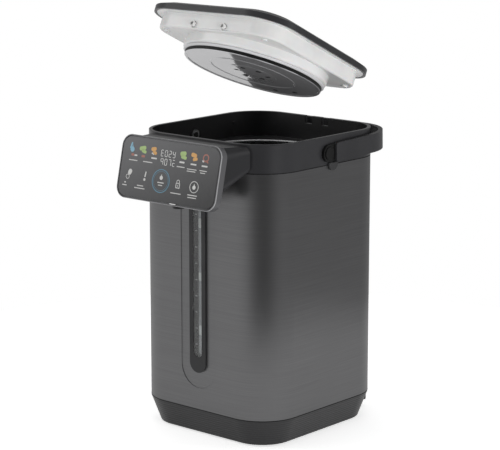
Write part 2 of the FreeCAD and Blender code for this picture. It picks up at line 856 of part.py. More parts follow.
def make_lid_tub():
    bottom = lid_seat - tub_height
    plug_bottom = lip_top + plug_gap
    shell = rounded_block(tub_width, tub_depth, tub_corner, bottom,
                          lid_seat + flange_thickness, lid_y)
    hollow = rounded_block(tub_width - 2 * tub_wall, tub_depth - 2 * tub_wall,
                           tub_corner - tub_wall, bottom + tub_wall,
                           lid_seat + flange_thickness + 1, lid_y)
    side = flange_inset + seat_gap
    flange = rounded_block(cover_width - 2 * side, cover_depth - 2 * side,
                           cover_corner - side, lid_seat,
                           lid_seat + flange_thickness, lid_y)
    plug = cylinder(plug_radius, plug_bottom, bottom + 1)
    low = [edge for edge in plug.Edges
           if all(abs(v.Point.z - plug_bottom) < 0.01 for v in edge.Vertexes)
           and abs(edge.BoundBox.XLength) > 1]
    plug = plug.makeFillet(plug_fillet, low)
    shape = joined([shell, flange, plug]).cut(hollow)
    shape = shape.cut(cylinder(plug_radius - tub_wall, plug_bottom + tub_wall,
                               bottom + tub_wall + 1))
    z = lid_seat - peg_drop
    for sign in (-1, 1):
        shape = shape.cut(rod(peg_radius + peg_clear,
                              (sign * peg_spread, lid_y - tub_depth / 2 - 1, z),
                              (sign * peg_spread, lid_y - tub_depth / 2 + tub_wall + 1, z)))
    for x, y in lid_screw_points:
        shape = shape.cut(cylinder(screw_radius + seat_gap, bottom - 1,
                                   bottom + tub_wall + 1, x, y))
    shape = shape.cut(box(-knuckle_half - fit_gap, knuckle_half + fit_gap,
                          hinge_y - 5 - fit_gap, hinge_y + 12, lid_seat - 1, lid_seat + 4))
    steam = cylinder(valve_radius + seat_gap, plug_bottom - 1, plug_bottom + tub_wall + 1,
                     0, valve_y)
    return shape.cut(steam)


def make_lid_seal():
    top = lip_top + plug_gap
    return tube(seal_radius, seal_inner, top - seal_height, top)


def slot_shape(x, y, bottom, top):
    straight = (slot_long - slot_wide) / 2
    return joined([box(x - straight, x + straight, y - slot_wide / 2, y + slot_wide / 2,
                       bottom, top),
                   cylinder(slot_wide / 2, bottom, top, x - straight, y),
                   cylinder(slot_wide / 2, bottom, top, x + straight, y)])


def make_lid_disc():
    top = lip_top + plug_gap - seal_height
    bottom = top - disc_height
    pan = cylinder(disc_radius, bottom, top)
    low = [edge for edge in pan.Edges
           if all(abs(v.Point.z - bottom) < 0.01 for v in edge.Vertexes)
           and edge.BoundBox.XLength > 1]
    pan = pan.makeFillet(disc_round, low)
    inner = cylinder(disc_radius - disc_wall, bottom + disc_wall, top + 1)
    inner_low = [edge for edge in inner.Edges
                 if all(abs(v.Point.z - bottom - disc_wall) < 0.01 for v in edge.Vertexes)
                 and edge.BoundBox.XLength > 1]
    inner = inner.makeFillet(disc_round - disc_wall, inner_low)
    flange = tube(disc_radius, seal_inner + 2, top - disc_wall, top)
    post = cylinder(6, bottom, lip_top + plug_gap)
    shape = joined([pan.cut(inner), flange, post])
    for index in range(slot_count):
        turn = math.radians(index * 360 / slot_count + 30)
        shape = shape.cut(slot_shape(slot_circle * math.cos(turn),
                                     slot_circle * math.sin(turn), bottom - 1, bottom + 2))
    for side in (-1, 1):
        shape = shape.cut(slot_shape(side * back_slot_x, back_slot_y, bottom - 1, bottom + 2))
    return shape


def make_steam_valve():
    bottom = lip_top + plug_gap
    top = lid_seat + cover_edge + cover_crown - cover_wall
    body = cylinder(valve_radius, bottom, top - 4, 0, valve_y)
    flange = cylinder(valve_radius + 3, bottom + tub_wall, bottom + tub_wall + 1.5,
                      0, valve_y)
    shape = joined([body, flange])
    return shape.cut(cylinder(valve_radius - 3, bottom - 1, top, 0, valve_y))


def make_lid_screws():
    bottom = lid_seat - tub_height
    screws = []
    for x, y in lid_screw_points:
        head = cylinder(screw_head, bottom - screw_head_height, bottom, x, y)
        shank = cylinder(screw_radius, bottom - 0.5, bottom + 12, x, y)
        slot = box(x - 2, x + 2, y - 0.4, y + 0.4, bottom - screw_head_height - 1,
                   bottom - screw_head_height + 0.8)
        screws.append(joined([head, shank]).cut(slot))
    return Part.makeCompound(screws)


def make_latch_pegs():
    z = lid_seat - peg_drop
    wall_y = lid_y - tub_depth / 2
    bar_front = wall_y + tub_wall + fit_gap
    bar = box(-peg_spread - 7, peg_spread + 7, bar_front, bar_front + bar_depth,
              z - bar_height / 2, z + bar_height / 2)
    pegs = [rod(peg_radius, (side * peg_spread, wall_y - peg_reach, z),
                (side * peg_spread, bar_front + 1, z)) for side in (-1, 1)]
    bores = [rod(peg_bore, (side * peg_spread, wall_y - peg_reach - 1, z),
                 (side * peg_spread, wall_y + 1, z)) for side in (-1, 1)]
    return joined([bar] + pegs).cut(Part.makeCompound(bores))


def make_latch_spring():
    """A bowed steel strip behind the latch bar."""
    back = lid_y - tub_depth / 2 + tub_wall + fit_gap + bar_depth
    points = [Vector(-18, back, 0), Vector(0, back + spring_bow, 0), Vector(18, back, 0)]
    outer = [Vector(-18, back + spring_strip, 0),
             Vector(0, back + spring_bow + spring_strip, 0),
             Vector(18, back + spring_strip, 0)]
    wire = Part.Wire([Part.Arc(*points).toShape(),
                      Part.LineSegment(points[2], outer[2]).toShape(),
                      Part.Arc(outer[2], outer[1], outer[0]).toShape(),
                      Part.LineSegment(outer[0], points[0]).toShape()])
    strip = Part.Face(wire).extrude(Vector(0, 0, bar_height - 2))
    strip.translate(Vector(0, 0, lid_seat - peg_drop - bar_height / 2 + 1))
    return strip


def make_release_button():
    top = lid_seat + cover_edge + cover_crown + 1
    bottom = lid_seat + cover_edge - 3
    return button_block(0, top - bottom)


def make_hinge_axle():
    return rod(axle_radius, (-axle_length / 2 + fit_gap, hinge_y, hinge_z),
               (axle_length / 2 - fit_gap, hinge_y, hinge_z))


def make_hinge_hooks():
    hooks = []
    inner_wall = inner_depth / 2
    for side in (-1, 1):
        x0 = side * notch_offset - hook_width / 2
        x1 = side * notch_offset + hook_width / 2
        leg = box(x0, x1, inner_wall - fit_gap - hook_thickness, inner_wall - fit_gap,
                  hinge_z - hook_drop, hinge_z + 1)
        eye = rod(axle_radius + 1.4, (x0, hinge_y, hinge_z), (x1, hinge_y, hinge_z))
        link = box(x0, x1, hinge_y, inner_wall - fit_gap, hinge_z - 1.5, hinge_z + 1)
        hook = box(x0, x1, inner_wall - fit_gap - 1, body_depth / 2 - rim_chamfer,
                   rim_top - notch_depth + fit_gap, rim_top - notch_depth + fit_gap + 3)
        hooks.append(joined([leg, eye, link, hook]))
    shape = Part.makeCompound(hooks)
    return shape.cut(rod(axle_radius, (-axle_length / 2, hinge_y, hinge_z),
                         (axle_length / 2, hinge_y, hinge_z)))


def make_bail_handle():
    outer = side_face + bail_gap + bail_thickness
    inner = side_face + bail_gap
    middle = -100.0
    bottom = pivot_z - bail_height / 2
    top = pivot_z + bail_height / 2
    depth = bail_back - middle
    whole = rounded_block(2 * outer, depth, bail_corner + bail_thickness, bottom, top,
                          (bail_back + middle) / 2)
    space_depth = depth - bail_thickness
    space = rounded_block(2 * inner, space_depth, bail_corner, bottom - 1, top + 1,
                          middle + space_depth / 2)
    start = pivot_y + bail_start
    strap = whole.cut(space).cut(box(-200, 200, -200, start, bottom - 5, top + 5))
    pieces = [strap]
    for side in (-1, 1):
        near = side * (side_face + eye_gap)
        far = side * (side_face + eye_gap + eye_thickness)
        disc = rod(pivot_radius, (near, pivot_y, pivot_z), (far, pivot_y, pivot_z))
        link = box(min(side * (side_face + bail_gap), far),
                   max(side * (side_face + bail_gap), far),
                   pivot_y, start + 1, pivot_z - pivot_radius, pivot_z + pivot_radius)
        pieces += [disc, link]
    shape = joined(pieces)
    hole = rod(pivot_pin, (-outer - 1, pivot_y, pivot_z), (outer + 1, pivot_y, pivot_z))
    return shape.cut(hole)


def make_handle_pins():
    pins = []
    for side in (-1, 1):
        near = side * (side_face - collar_wall - 3)
        far = side * (side_face + eye_gap + eye_thickness)
        head_end = side * (side_face + eye_gap + eye_thickness + 1.2)
        pins.append(joined([rod(pivot_pin, (near, pivot_y, pivot_z), (far, pivot_y, pivot_z)),
                            rod(pin_head, (far, pivot_y, pivot_z),
                                (head_end, pivot_y, pivot_z))]))
    return Part.makeCompound(pins)


def make_handle_clips():
    clips = []
    for side in (-1, 1):
        near = side * (side_face - collar_wall - fit_gap)
        far = side * (side_face - collar_wall - fit_gap - 1.2)
        ring = rod(pin_head - 1, (near, pivot_y, pivot_z), (far, pivot_y, pivot_z))
        clips.append(ring.cut(rod(pivot_pin, (-side_face, pivot_y, pivot_z),
                                  (side_face, pivot_y, pivot_z))))
    return Part.makeCompound(clips)


def make_handle_lugs():
    lugs = []
    top = pivot_z - bail_height / 2 - fit_gap
    radius = lug_width / 2
    for side in (-1, 1):
        inner = side * side_face
        outer = side * (side_face + lug_thickness)
        plate = box(min(inner, outer), max(inner, outer), lug_front, lug_front + lug_width,
                    lug_bottom + radius, top)
        end = rod(radius, (inner, lug_front + radius, lug_bottom + radius),
                  (outer, lug_front + radius, lug_bottom + radius))
        end = end.common(box(-side_face - 5, side_face + 5, -30, 30, lug_bottom - 1, top))
        gap = box(min(side * (side_face - 1), side * (side_face + 0.3)),
                  max(side * (side_face - 1), side * (side_face + 0.3)),
                  -30, 30, lug_bottom - 1, seam_collar)
        lugs.append(joined([plate, end]).cut(gap))
    return Part.makeCompound(lugs)


fixed_nodes = {
    "base_housing": make_base_housing,
    "bottom_cover": make_bottom_cover,
    "foot_ring": make_foot_ring,
    "bottom_screws": make_bottom_screws,
    "outer_shell": make_outer_shell,
    "inner_container": make_inner_container,
    "insulation_wrap": make_insulation_wrap,
    "heater_plate": make_heater_plate,
    "thermostat": make_thermostat,
    "thermal_fuse": make_thermal_fuse,
    "top_collar": make_top_collar,
    "latch_keeper": make_latch_keeper,
    "spout_head": make_spout_head,
    "panel_frame": make_panel_frame,
    "panel_glass": make_panel_glass,
    "display_board": make_display_board,
    "spout_nozzle": make_spout_nozzle,
    "spout_hose": make_spout_hose,
    "gauge_bezel": make_gauge_bezel,
    "gauge_window": make_gauge_window,
    "gauge_tube": make_gauge_tube,
    "delivery_hose": make_delivery_hose,
    "suction_sleeve": make_suction_sleeve,
    "pump_housing": make_pump_housing,
    "pump_motor": make_pump_motor,
    "pump_impeller": make_pump_impeller,
    "pump_shaft": make_pump_shaft,
    "power_board": make_power_board,
    "power_inlet": make_power_inlet,
    "inlet_pins": make_inlet_pins,
    "handle_lugs": make_handle_lugs,
}
lid_nodes = {
    "lid_cover": make_lid_cover,
    "lid_tub": make_lid_tub,
    "lid_seal": make_lid_seal,
    "lid_disc": make_lid_disc,
    "steam_valve": make_steam_valve,
    "lid_screws": make_lid_screws,
    "latch_pegs": make_latch_pegs,
    "latch_spring": make_latch_spring,
    "release_button": make_release_button,
    "hinge_axle": make_hinge_axle,
    "hinge_hooks": make_hinge_hooks,
}
handle_nodes = {
    "bail_handle": make_bail_handle,
    "handle_pins": make_handle_pins,
    "handle_clips": make_handle_clips,
}

for name, make in fixed_nodes.items():
    make().exportStep(f"parts/{name}.step")
for name, make in lid_nodes.items():
    lifted(make()).exportStep(f"parts/{name}.step")
for name, make in handle_nodes.items():
    risen(make()).exportStep(f"parts/{name}.step")
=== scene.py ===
# An electric thermo pot with its lid held off it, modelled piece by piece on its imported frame.
import math

import bpy
from mathutils import Matrix, Vector


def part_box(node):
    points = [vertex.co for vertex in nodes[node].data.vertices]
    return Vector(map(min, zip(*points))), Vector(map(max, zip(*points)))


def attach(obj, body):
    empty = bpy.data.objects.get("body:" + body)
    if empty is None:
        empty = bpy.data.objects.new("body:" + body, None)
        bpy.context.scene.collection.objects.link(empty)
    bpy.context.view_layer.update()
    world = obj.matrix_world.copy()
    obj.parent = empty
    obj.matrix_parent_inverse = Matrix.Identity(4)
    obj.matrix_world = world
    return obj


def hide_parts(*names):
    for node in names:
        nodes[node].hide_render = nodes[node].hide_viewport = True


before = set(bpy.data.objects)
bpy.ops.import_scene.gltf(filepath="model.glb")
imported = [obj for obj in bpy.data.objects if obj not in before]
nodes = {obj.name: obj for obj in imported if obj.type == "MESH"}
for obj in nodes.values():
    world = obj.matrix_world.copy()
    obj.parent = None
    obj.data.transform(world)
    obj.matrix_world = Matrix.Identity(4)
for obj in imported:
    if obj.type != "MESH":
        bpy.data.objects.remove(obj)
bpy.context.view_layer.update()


# Outer shell
# A sleeve of thin steel sheet, lacquered anthracite grey and brushed round the pot. It
# stands on the base, and its front has a shallow upright recess for the water gauge.

def make_active(piece):
    """Back in object mode, with only this piece selected."""
    if bpy.context.mode != "OBJECT":
        bpy.ops.object.mode_set(mode="OBJECT")
    bpy.ops.object.select_all(action="DESELECT")
    if piece:
        piece.select_set(True)
        bpy.context.view_layer.objects.active = piece


def settle(piece):
    """Leave edit mode and put the piece's place into its mesh."""
    make_active(piece)
    bpy.ops.object.transform_apply(location=True, rotation=True, scale=True)
    return piece


def pick(piece, kind, test):
    """Into edit mode, with the faces, edges or points selected whose middle passes the test."""
    make_active(piece)
    mesh = piece.data
    for group in (mesh.vertices, mesh.edges, mesh.polygons):
        group.foreach_set("select", [False] * len(group))
    if kind == "FACE":
        for face in mesh.polygons:
            face.select = test(face.center, face.normal)
    elif kind == "EDGE":
        for edge in mesh.edges:
            a, b = (mesh.vertices[index].co for index in edge.vertices)
            edge.select = test((a + b) / 2, (b - a).normalized())
    else:
        for vertex in mesh.vertices:
            vertex.select = test(vertex.co, vertex.normal)
    bpy.context.tool_settings.mesh_select_mode = (kind == "VERT", kind == "EDGE", kind == "FACE")
    bpy.ops.object.mode_set(mode="EDIT")


def block(name, low, high, corner=0.0, along=2, steps=12):
    """A box from low to high, with the four edges that run along one axis rounded."""
    low = Vector(low)
    high = Vector(high)
    make_active(None)
    bpy.ops.mesh.primitive_cube_add(size=1, location=(low + high) / 2)
    piece = bpy.context.object
    piece.name = piece.data.name = name
    piece.scale = high - low
    settle(piece)
    if corner:
        pick(piece, "EDGE", lambda middle, way: abs(way[along]) > 0.9)
        bpy.ops.mesh.bevel(offset=corner, segments=steps, affect="EDGES")
        settle(piece)
    return piece


def outline(name, inset, low, high):
    """A block as wide and deep as the pot, less an inset, between two heights."""
    return block(name, (-side_x + inset, front_y + inset, low),
                 (side_x - inset, back_y - inset, high), body_corner - inset, steps=24)


def combine(piece, operation, tools):
    """Cut the tools out of a piece, or weld them onto it."""
    for tool in tools:
        make_active(piece)
        change = piece.modifiers.new("combine", "BOOLEAN")
        change.operation = operation
        change.solver = "EXACT"
        change.object = tool
        bpy.ops.object.modifier_apply(modifier=change.name)
        bpy.data.objects.remove(tool)
    return piece


def soften(piece, width, steps=2, angle=35):
    """Round off every sharp edge by a width, and shade the curved faces smooth."""
    make_active(piece)
    change = piece.modifiers.new("soften", "BEVEL")
    change.width = width
    change.segments = steps
    change.limit_method = "ANGLE"
    change.angle_limit = math.radians(angle)
    bpy.ops.object.modifier_apply(modifier=change.name)
    return shade(piece, 40)


def shade(piece, angle):
    """Shade a piece smooth up to an angle, with its flat faces kept flat to the eye."""
    make_active(piece)
    bpy.ops.object.shade_smooth_by_angle(angle=math.radians(angle))
    even = piece.modifiers.new("even", "WEIGHTED_NORMAL")
    even.keep_sharp = True
    bpy.ops.object.modifier_apply(modifier=even.name)
    return piece


def linear(code):
    """The linear colour of an sRGB hex value such as 6a6b6d."""
    parts = [int(code[start:start + 2], 16) / 255 for start in (0, 2, 4)]
    return [part / 12.92 if part <= 0.04045 else ((part + 0.055) / 1.055) ** 2.4
            for part in parts] + [1.0]


def new_material(name, **values):
    """A new material and its shader, with the shader's own sockets set."""
    made = bpy.data.materials.new(name)
    made.use_nodes = True
    shader = made.node_tree.nodes["Principled BSDF"]
    for key, value in values.items():
        shader.inputs[key.replace("_", " ")].default_value = value
    return made, shader


def connect(node, inputs):
    """Set a node's inputs, or link them to a socket or to the first output of a node."""
    for key, value in dict(inputs).items():
        if isinstance(value, bpy.types.Node):
            value = value.outputs[0]
        if isinstance(value, bpy.types.NodeSocket):
            node.id_data.links.new(value, node.inputs[key])
        else:
            node.inputs[key].default_value = value


def add_node(made, kind, inputs=(), **settings):
    """Add a shader node to a material, with its inputs and its settings. The stops of a ramp
    are places and hex colours."""
    node = made.node_tree.nodes.new("ShaderNode" + kind)
    for key, value in settings.items():
        if key == "stops":
            for stop, (place, code) in zip(node.color_ramp.elements, value):
                stop.position = place
                stop.color = linear(code)
        else:
            setattr(node, key, value)
    connect(node, inputs)
    return node


def wear(piece, made, slot, body, *replaced):
    """Give a finished piece its material, put it on its body, and hide the CAD nodes it stands for.
    Its slot is not used.
    """
    piece.data.materials.clear()
    piece.data.materials.append(made)
    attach(piece, body)
    if replaced:
        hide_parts(*replaced)
    return piece


# Lacquered brushed steel: fine streaks that run round the pot, long across and thin upright.
# The real scratches are 0.1 mm; they are drawn 0.5 mm high, so that they show.
brushed_lacquer, shader = new_material("brushed_lacquered_steel", Metallic=0.92, Roughness=0.32,
                                       Anisotropic=0.85)
place = add_node(brushed_lacquer, "TexCoord").outputs["Object"]
stretched = add_node(brushed_lacquer, "Mapping", {"Vector": place, "Scale": (12, 12, 2000)})
streaks = add_node(brushed_lacquer, "TexNoise", {"Vector": stretched, "Scale": 1.0, "Detail": 3.0})
cloud = add_node(brushed_lacquer, "TexNoise", {"Vector": place, "Scale": 9.0, "Detail": 2.0})
mixed = add_node(brushed_lacquer, "Math", {0: cloud, 1: 0.25, 2: streaks}, operation="MULTIPLY_ADD")
tone = add_node(brushed_lacquer, "ValToRGB", {0: mixed}, stops=((0.40, "6a6a6b"), (0.86, "757576")))
brushed = add_node(brushed_lacquer, "Bump", {
    "Height": streaks, "Strength": 0.1, "Distance": 0.0003})
connect(shader, {"Base Color": tone, "Normal": brushed})

body_low, shell_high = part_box("outer_shell")
front_y = body_low.y
back_y = shell_high.y
side_x = shell_high.x
body_corner = 0.046
shell_wall = 0.0016
recess_half = 0.025
recess_bottom = 0.056
recess_top = 0.296
recess_depth = 0.0008
above_all = 0.4
past = 0.01

shell = block("shell_sleeve", body_low, shell_high, body_corner, steps=24)
hollow = outline("hollow", shell_wall, 0.0, above_all)
recess = block("recess", (-recess_half, front_y - past, recess_bottom),
               (recess_half, front_y + recess_depth, recess_top), recess_half - 0.0001, 1, 20)
combine(shell, "DIFFERENCE", (recess, hollow))
soften(shell, 0.0005, 2)
wear(shell, brushed_lacquer, "painted_steel", "root", "outer_shell")


# Base
# A skirt moulded in black ABS that the shell stands in. It draws in towards the worktop,
# with fine lines moulded round it and a socket for the mains lead at the back.

def moulded_plastic(name, dark, light, roughness, grain_mm=1.0, depth=0.1, rib_mm=0.0):
    """Injection moulded plastic: an even colour, a fine sparked grain, a faint cloud, and
    level ribs where it has them."""
    made, shader = new_material(name, Roughness=roughness, IOR=1.5, Specular_IOR_Level=0.3)
    place = add_node(made, "TexCoord").outputs["Object"]
    grain = add_node(made, "TexNoise", {"Vector": place, "Scale": 1000 / grain_mm, "Detail": 4.0})
    cloud = add_node(made, "TexNoise", {"Vector": place, "Scale": 20.0, "Detail": 2.0})
    mixed = add_node(made, "Math", {0: grain, 1: cloud}, operation="ADD")
    tone = add_node(made, "ValToRGB", {0: mixed}, stops=((0.7, dark), (1.0, light)))
    bumps = add_node(made, "Bump", {"Height": grain, "Strength": depth, "Distance": 0.0002})
    if rib_mm:
        ribs = add_node(made, "TexWave", {
            "Vector": place, "Scale": 1000 * math.pi / 10 / rib_mm, "Distortion": 0.0},
            bands_direction="Z")
        bumps = add_node(made, "Bump", {
            "Height": ribs.outputs["Fac"], "Normal": bumps, "Strength": 0.6, "Distance": 0.0003})
    connect(shader, {"Base Color": tone, "Normal": bumps})
    return made


# Black ABS with a fine satin grain of about 1 mm, with ribs every 2.7 mm that run round it,
# and without them.
ribbed_abs = moulded_plastic("ribbed_black_abs", "2a2a2b", "323233", 0.38, rib_mm=2.7)
black_abs = moulded_plastic("satin_black_abs", "2a2a2b", "323233", 0.38)

base_low, base_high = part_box("base_housing")
base_top_edge = 0.0012
base_draw = 0.0107
base_wall = 0.0025
base_hollow = 0.02
socket_left = 0.028
socket_right = 0.062
socket_bottom = 0.006
socket_top = 0.023
socket_front = 0.07
socket_behind = 0.13
socket_room = 0.0001

base = outline("base_skirt", 0, base_high.z - base_top_edge, base_high.z)
pick(base, "FACE", lambda middle, normal: normal.z < -0.9)
bpy.ops.mesh.inset(thickness=base_draw, depth=base_high.z - base_top_edge - base_low.z)
bpy.ops.mesh.inset(thickness=base_wall, depth=0)
bpy.ops.mesh.inset(thickness=0.0004, depth=-base_hollow)
settle(base)
socket_hole = block("socket_hole",
                    (socket_left - socket_room, socket_front, socket_bottom - socket_room),
                    (socket_right + socket_room, socket_behind, socket_top + socket_room))
combine(base, "DIFFERENCE", (socket_hole,))
soften(base, 0.0006, 2, 25)
wear(base, ribbed_abs, "black_plastic", "root", "base_housing")


# Seam shade
# Two thin near-black bands round the seams between the shell, its base and the collar above
# it: painted shade in the seams.

# Matt near-black, darker than the steel and plastic on either side of it: painted shade in the
# seams.
seam_shade_black = moulded_plastic("painted_seam_shade", "0c0c0c", "121212", 0.7, 0.6, 0.2)
seam_shade_half = 0.0005
seam_shade_proud = 0.00005
seam_shade_deep = 0.001
collar_seam = 0.30085


def seam_shade_band(name, middle_z):
    """A band of painted shade round the pot's outline, centred on a height."""
    band = block(name, (-side_x - seam_shade_proud, front_y - seam_shade_proud, middle_z - seam_shade_half),
                 (side_x + seam_shade_proud, back_y + seam_shade_proud, middle_z + seam_shade_half),
                 body_corner, steps=24)
    inside = outline("inside", seam_shade_deep, middle_z - past, middle_z + past)
    combine(band, "DIFFERENCE", (inside,))
    shade(band, 40)
    return wear(band, seam_shade_black, "black_plastic", "root")


seam_shade_band("base_seam_shade", base_high.z)
seam_shade_band("collar_seam_shade", collar_seam)


# Mains socket
# A block of heat-proof black nylon, screwed into the base's back. The lead's plug goes over
# three brass pins in its pocket.

# Black nylon: duller than the ABS round it.
nylon = moulded_plastic("black_nylon", "19191a", "222223", 0.5)
socket_wall = 0.003
socket_depth = 0.0085


def sink(rim, way):
    """Leave a flat rim round the selected face, and push the rest of the face in."""
    bpy.ops.mesh.inset(thickness=rim, depth=0)
    bpy.ops.mesh.extrude_region_move(TRANSFORM_OT_translate={"value": way})


inlet_low, inlet_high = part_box("power_inlet")
inlet = block("mains_socket", inlet_low, inlet_high, 0.002, 1, 4)
pick(inlet, "FACE", lambda middle, normal: normal.y > 0.9)
sink(socket_wall, (0, -socket_depth, 0))
soften(inlet, 0.0005, 2)
wear(inlet, nylon, "black_plastic", "root", "power_inlet")


# Top collar
# The black moulding that caps the shell, with a thin flat rim round a deep well. Its deck
# carries the container's lip, and two notches at the back take the lid's hooks.

# Satin ABS outside. Inside the well the face is rougher, and darker as painted shade in the deep
# well.
collar_abs = moulded_plastic("satin_grey_black_abs", "252527", "2d2d2f", 0.3)
well_shade_abs = moulded_plastic("textured_abs_painted_well_shade", "121213", "181819", 0.4)

collar_low_z = 0.301
rim_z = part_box("top_collar")[1].z
collar_wall = 0.004
deck_z = 0.3033
well_end = 0.36
mouth_radius = 0.0809
mouth_start = 0.29
mouth_end = 0.31
notch_x = 0.012
notch_half = 0.0045
notch_drop = 0.009
stud_radius = 0.0016
stud_y = 0.062
stud_z = 0.320


def round_bar(name, radius, start, end, sides=48):
    """A closed round bar between two points."""
    start = Vector(start)
    end = Vector(end)
    make_active(None)
    bpy.ops.mesh.primitive_cylinder_add(vertices=sides, radius=radius, depth=(end - start).length,
                                        location=(start + end) / 2)
    piece = bpy.context.object
    piece.name = piece.data.name = name
    piece.rotation_euler = (end - start).to_track_quat("Z", "Y").to_euler()
    return settle(piece)


def join(name, pieces):
    """Make several pieces one object with a name of its own."""
    make_active(pieces[0])
    for piece in pieces[1:]:
        piece.select_set(True)
    bpy.ops.object.join()
    pieces[0].name = pieces[0].data.name = name
    return pieces[0]


def second_finish(piece, made, test):
    """Give a second material to the faces that pass the test."""
    piece.data.materials.append(made)
    for face in piece.data.polygons:
        if test(face.center, face.normal):
            face.material_index = 1


collar = outline("collar", 0, collar_low_z, rim_z)
well = outline("well", collar_wall, deck_z, well_end)
mouth = round_bar("mouth", mouth_radius, (0, 0, mouth_start), (0, 0, mouth_end), 128)
notches = [block("notch", (side * notch_x - notch_half, back_y - collar_wall - 0.001,
                           rim_z - notch_drop),
                 (side * notch_x + notch_half, back_y + past, rim_z + past))
           for side in (-1, 1)]
combine(collar, "DIFFERENCE", (well, mouth, *notches))
studs = [round_bar("stud", stud_radius, (side * (side_x - collar_wall - 0.002), stud_y, stud_z),
                   (side * (side_x - collar_wall + 0.001), stud_y, stud_z), 24)
         for side in (-1, 1)]
combine(collar, "UNION", studs)
soften(collar, 0.0006, 2)
wear(collar, collar_abs, "black_plastic", "root", "top_collar")


def in_well(middle, normal):
    """True for the upright faces inside the rim, and for those that look down."""
    reach = Vector((max(abs(middle.x) - side_x + body_corner, 0),
                    max(abs(middle.y) - back_y + body_corner, 0))).length
    return reach < body_corner - 0.0035 and middle.z < rim_z - 0.0008 and normal.z < 0.9


# The faces inside the well take the darker finish: painted shade.
second_finish(collar, well_shade_abs, in_well)


# Inner container
# A cup of stainless steel, deep drawn and polished, whose rolled lip lies on the collar's
# deck. From above it is a thin bright ring round a mirror wall.

def bare_metal(name, dark, light, roughness, scale, detail=3.0, stretch=(1, 1, 1), marks=0.0):
    """Bare metal: its grey drifts along the marks that its making left, which may be felt."""
    made, shader = new_material(name, Metallic=1.0, Roughness=roughness)
    place = add_node(made, "TexCoord").outputs["Object"]
    stretched = add_node(made, "Mapping", {"Vector": place, "Scale": stretch})
    drawn = add_node(made, "TexNoise", {"Vector": stretched, "Scale": scale, "Detail": detail})
    tone = add_node(made, "ValToRGB", {0: drawn}, stops=((0.0, dark), (1.0, light)))
    lines = add_node(made, "Bump", {"Height": drawn, "Strength": marks, "Distance": 0.0001})
    connect(shader, {"Base Color": tone, "Normal": lines})
    return made


# Polished stainless steel: a soft mirror with faint rings round it, 0.7 mm apart.
polished_steel = bare_metal("polished_stainless_steel", "b2b2b3", "cfcfd0", 0.16, 1.0, 3.0,
                            (6, 6, 1400), 0.02)


def turned(name, rings, x=0.0, y=0.0, sides=128):
    """A round piece on an upright axis: each ring, a radius and a height, grows on the last."""
    radius, height = rings[0]
    make_active(None)
    bpy.ops.mesh.primitive_circle_add(vertices=sides, radius=radius, location=(x, y, height))
    piece = bpy.context.object
    piece.name = piece.data.name = name
    settle(piece)
    pick(piece, "EDGE", lambda middle, way: True)
    for wide, high in rings[1:]:
        bpy.ops.mesh.extrude_edges_move(TRANSFORM_OT_translate={"value": (0, 0, high - height)})
        bpy.ops.transform.resize(value=(wide / radius, wide / radius, 1),
                                 center_override=(x, y, high))
        radius, height = wide, high
    bpy.ops.mesh.select_all(action="SELECT")
    bpy.ops.mesh.remove_doubles(threshold=0.00002)
    bpy.ops.mesh.normals_make_consistent(inside=False)
    settle(piece)
    return shade(piece, 35)


cup_radius = 0.080
cup_wall = 0.0008
cup_lip = 0.3045
cup_floor = 0.056
lip_radius = 0.0853
drain = 0.006
cup = turned("container_cup", (
    (drain, cup_floor - 0.008), (drain, cup_floor), (0.072, cup_floor), (0.0755, cup_floor + 0.001),
    (0.0785, cup_floor + 0.004), (cup_radius, cup_floor + 0.008), (cup_radius, cup_lip - 0.0022),
    (cup_radius + 0.0003, cup_lip - 0.0009), (cup_radius + 0.0012, cup_lip - 0.0002),
    (cup_radius + 0.0025, cup_lip), (lip_radius - 0.0007, cup_lip - 0.0001),
    (lip_radius, cup_lip - 0.0006), (lip_radius - 0.0002, cup_lip - 0.0012),
    (cup_radius + cup_wall, cup_lip - 0.0012), (cup_radius + cup_wall, cup_floor + 0.008),
    (0.0785, cup_floor + 0.003), (0.0755, cup_floor), (0.072, cup_floor - cup_wall),
    (drain + 0.001, cup_floor - cup_wall), (drain + 0.001, cup_floor - 0.008),
    (drain, cup_floor - 0.008)))
wear(cup, polished_steel, "steel", "root", "inner_container")


# Spout head
# A wedge of black ABS that carries the control panel out in front of the collar, with a
# keel below its middle that leads the hose to the nozzle.

# Satin black ABS that shows a soft grey along its upper faces.
head_abs = moulded_plastic("satin_black_head_abs", "252527", "262628", 0.32)
lean = math.radians(12.6)
panel_top = Vector((0, -0.141, 0.335))
panel_down = Vector((0, -math.sin(lean), -math.cos(lean)))
panel_into = Vector((0, math.cos(lean), -math.sin(lean)))
panel_height = 0.0686
frame_depth = 0.009
panel_place = Matrix.Translation(panel_top) @ Matrix(
    ((1, 0, 0), (0, panel_down.y, panel_into.y), (0, panel_down.z, panel_into.z))).to_4x4()

head_back_low = 0.3014
head_back_high = 0.330
head_half = 0.074
head_front_half = 0.066
into_shell = 0.0003
head_low = panel_top + panel_down * (panel_height - 0.014) + panel_into * frame_depth
head_high = panel_top + panel_down * 0.002 + panel_into * frame_depth
head_middle = (head_low + head_high) / 2
head = block("spout_head_shell", (-head_half, head_middle.y, head_back_low),
             (head_half, front_y + into_shell, head_back_high), 0.008, 1, 10)
pick(head, "FACE", lambda middle, normal: normal.y < -0.9)
centre = Vector((0, head_middle.y, (head_back_low + head_back_high) / 2))
grow = (head_high - head_low).length / (head_back_high - head_back_low)
bpy.ops.transform.resize(value=(head_front_half / head_half, 1, grow), center_override=centre)
bpy.ops.transform.translate(value=head_middle - centre)
bpy.ops.transform.rotate(value=lean, orient_axis="X", center_override=head_middle)
settle(head)
nozzle_y = -0.132
nozzle_radius = 0.007
keel_half = 0.015
keel_low = 0.281
keel_high = 0.309
keel = block("keel", (-keel_half, nozzle_y - 0.001, keel_low),
             (keel_half, front_y + into_shell, keel_high), 0.003, 2, 4)
combine(head, "UNION", (keel,))
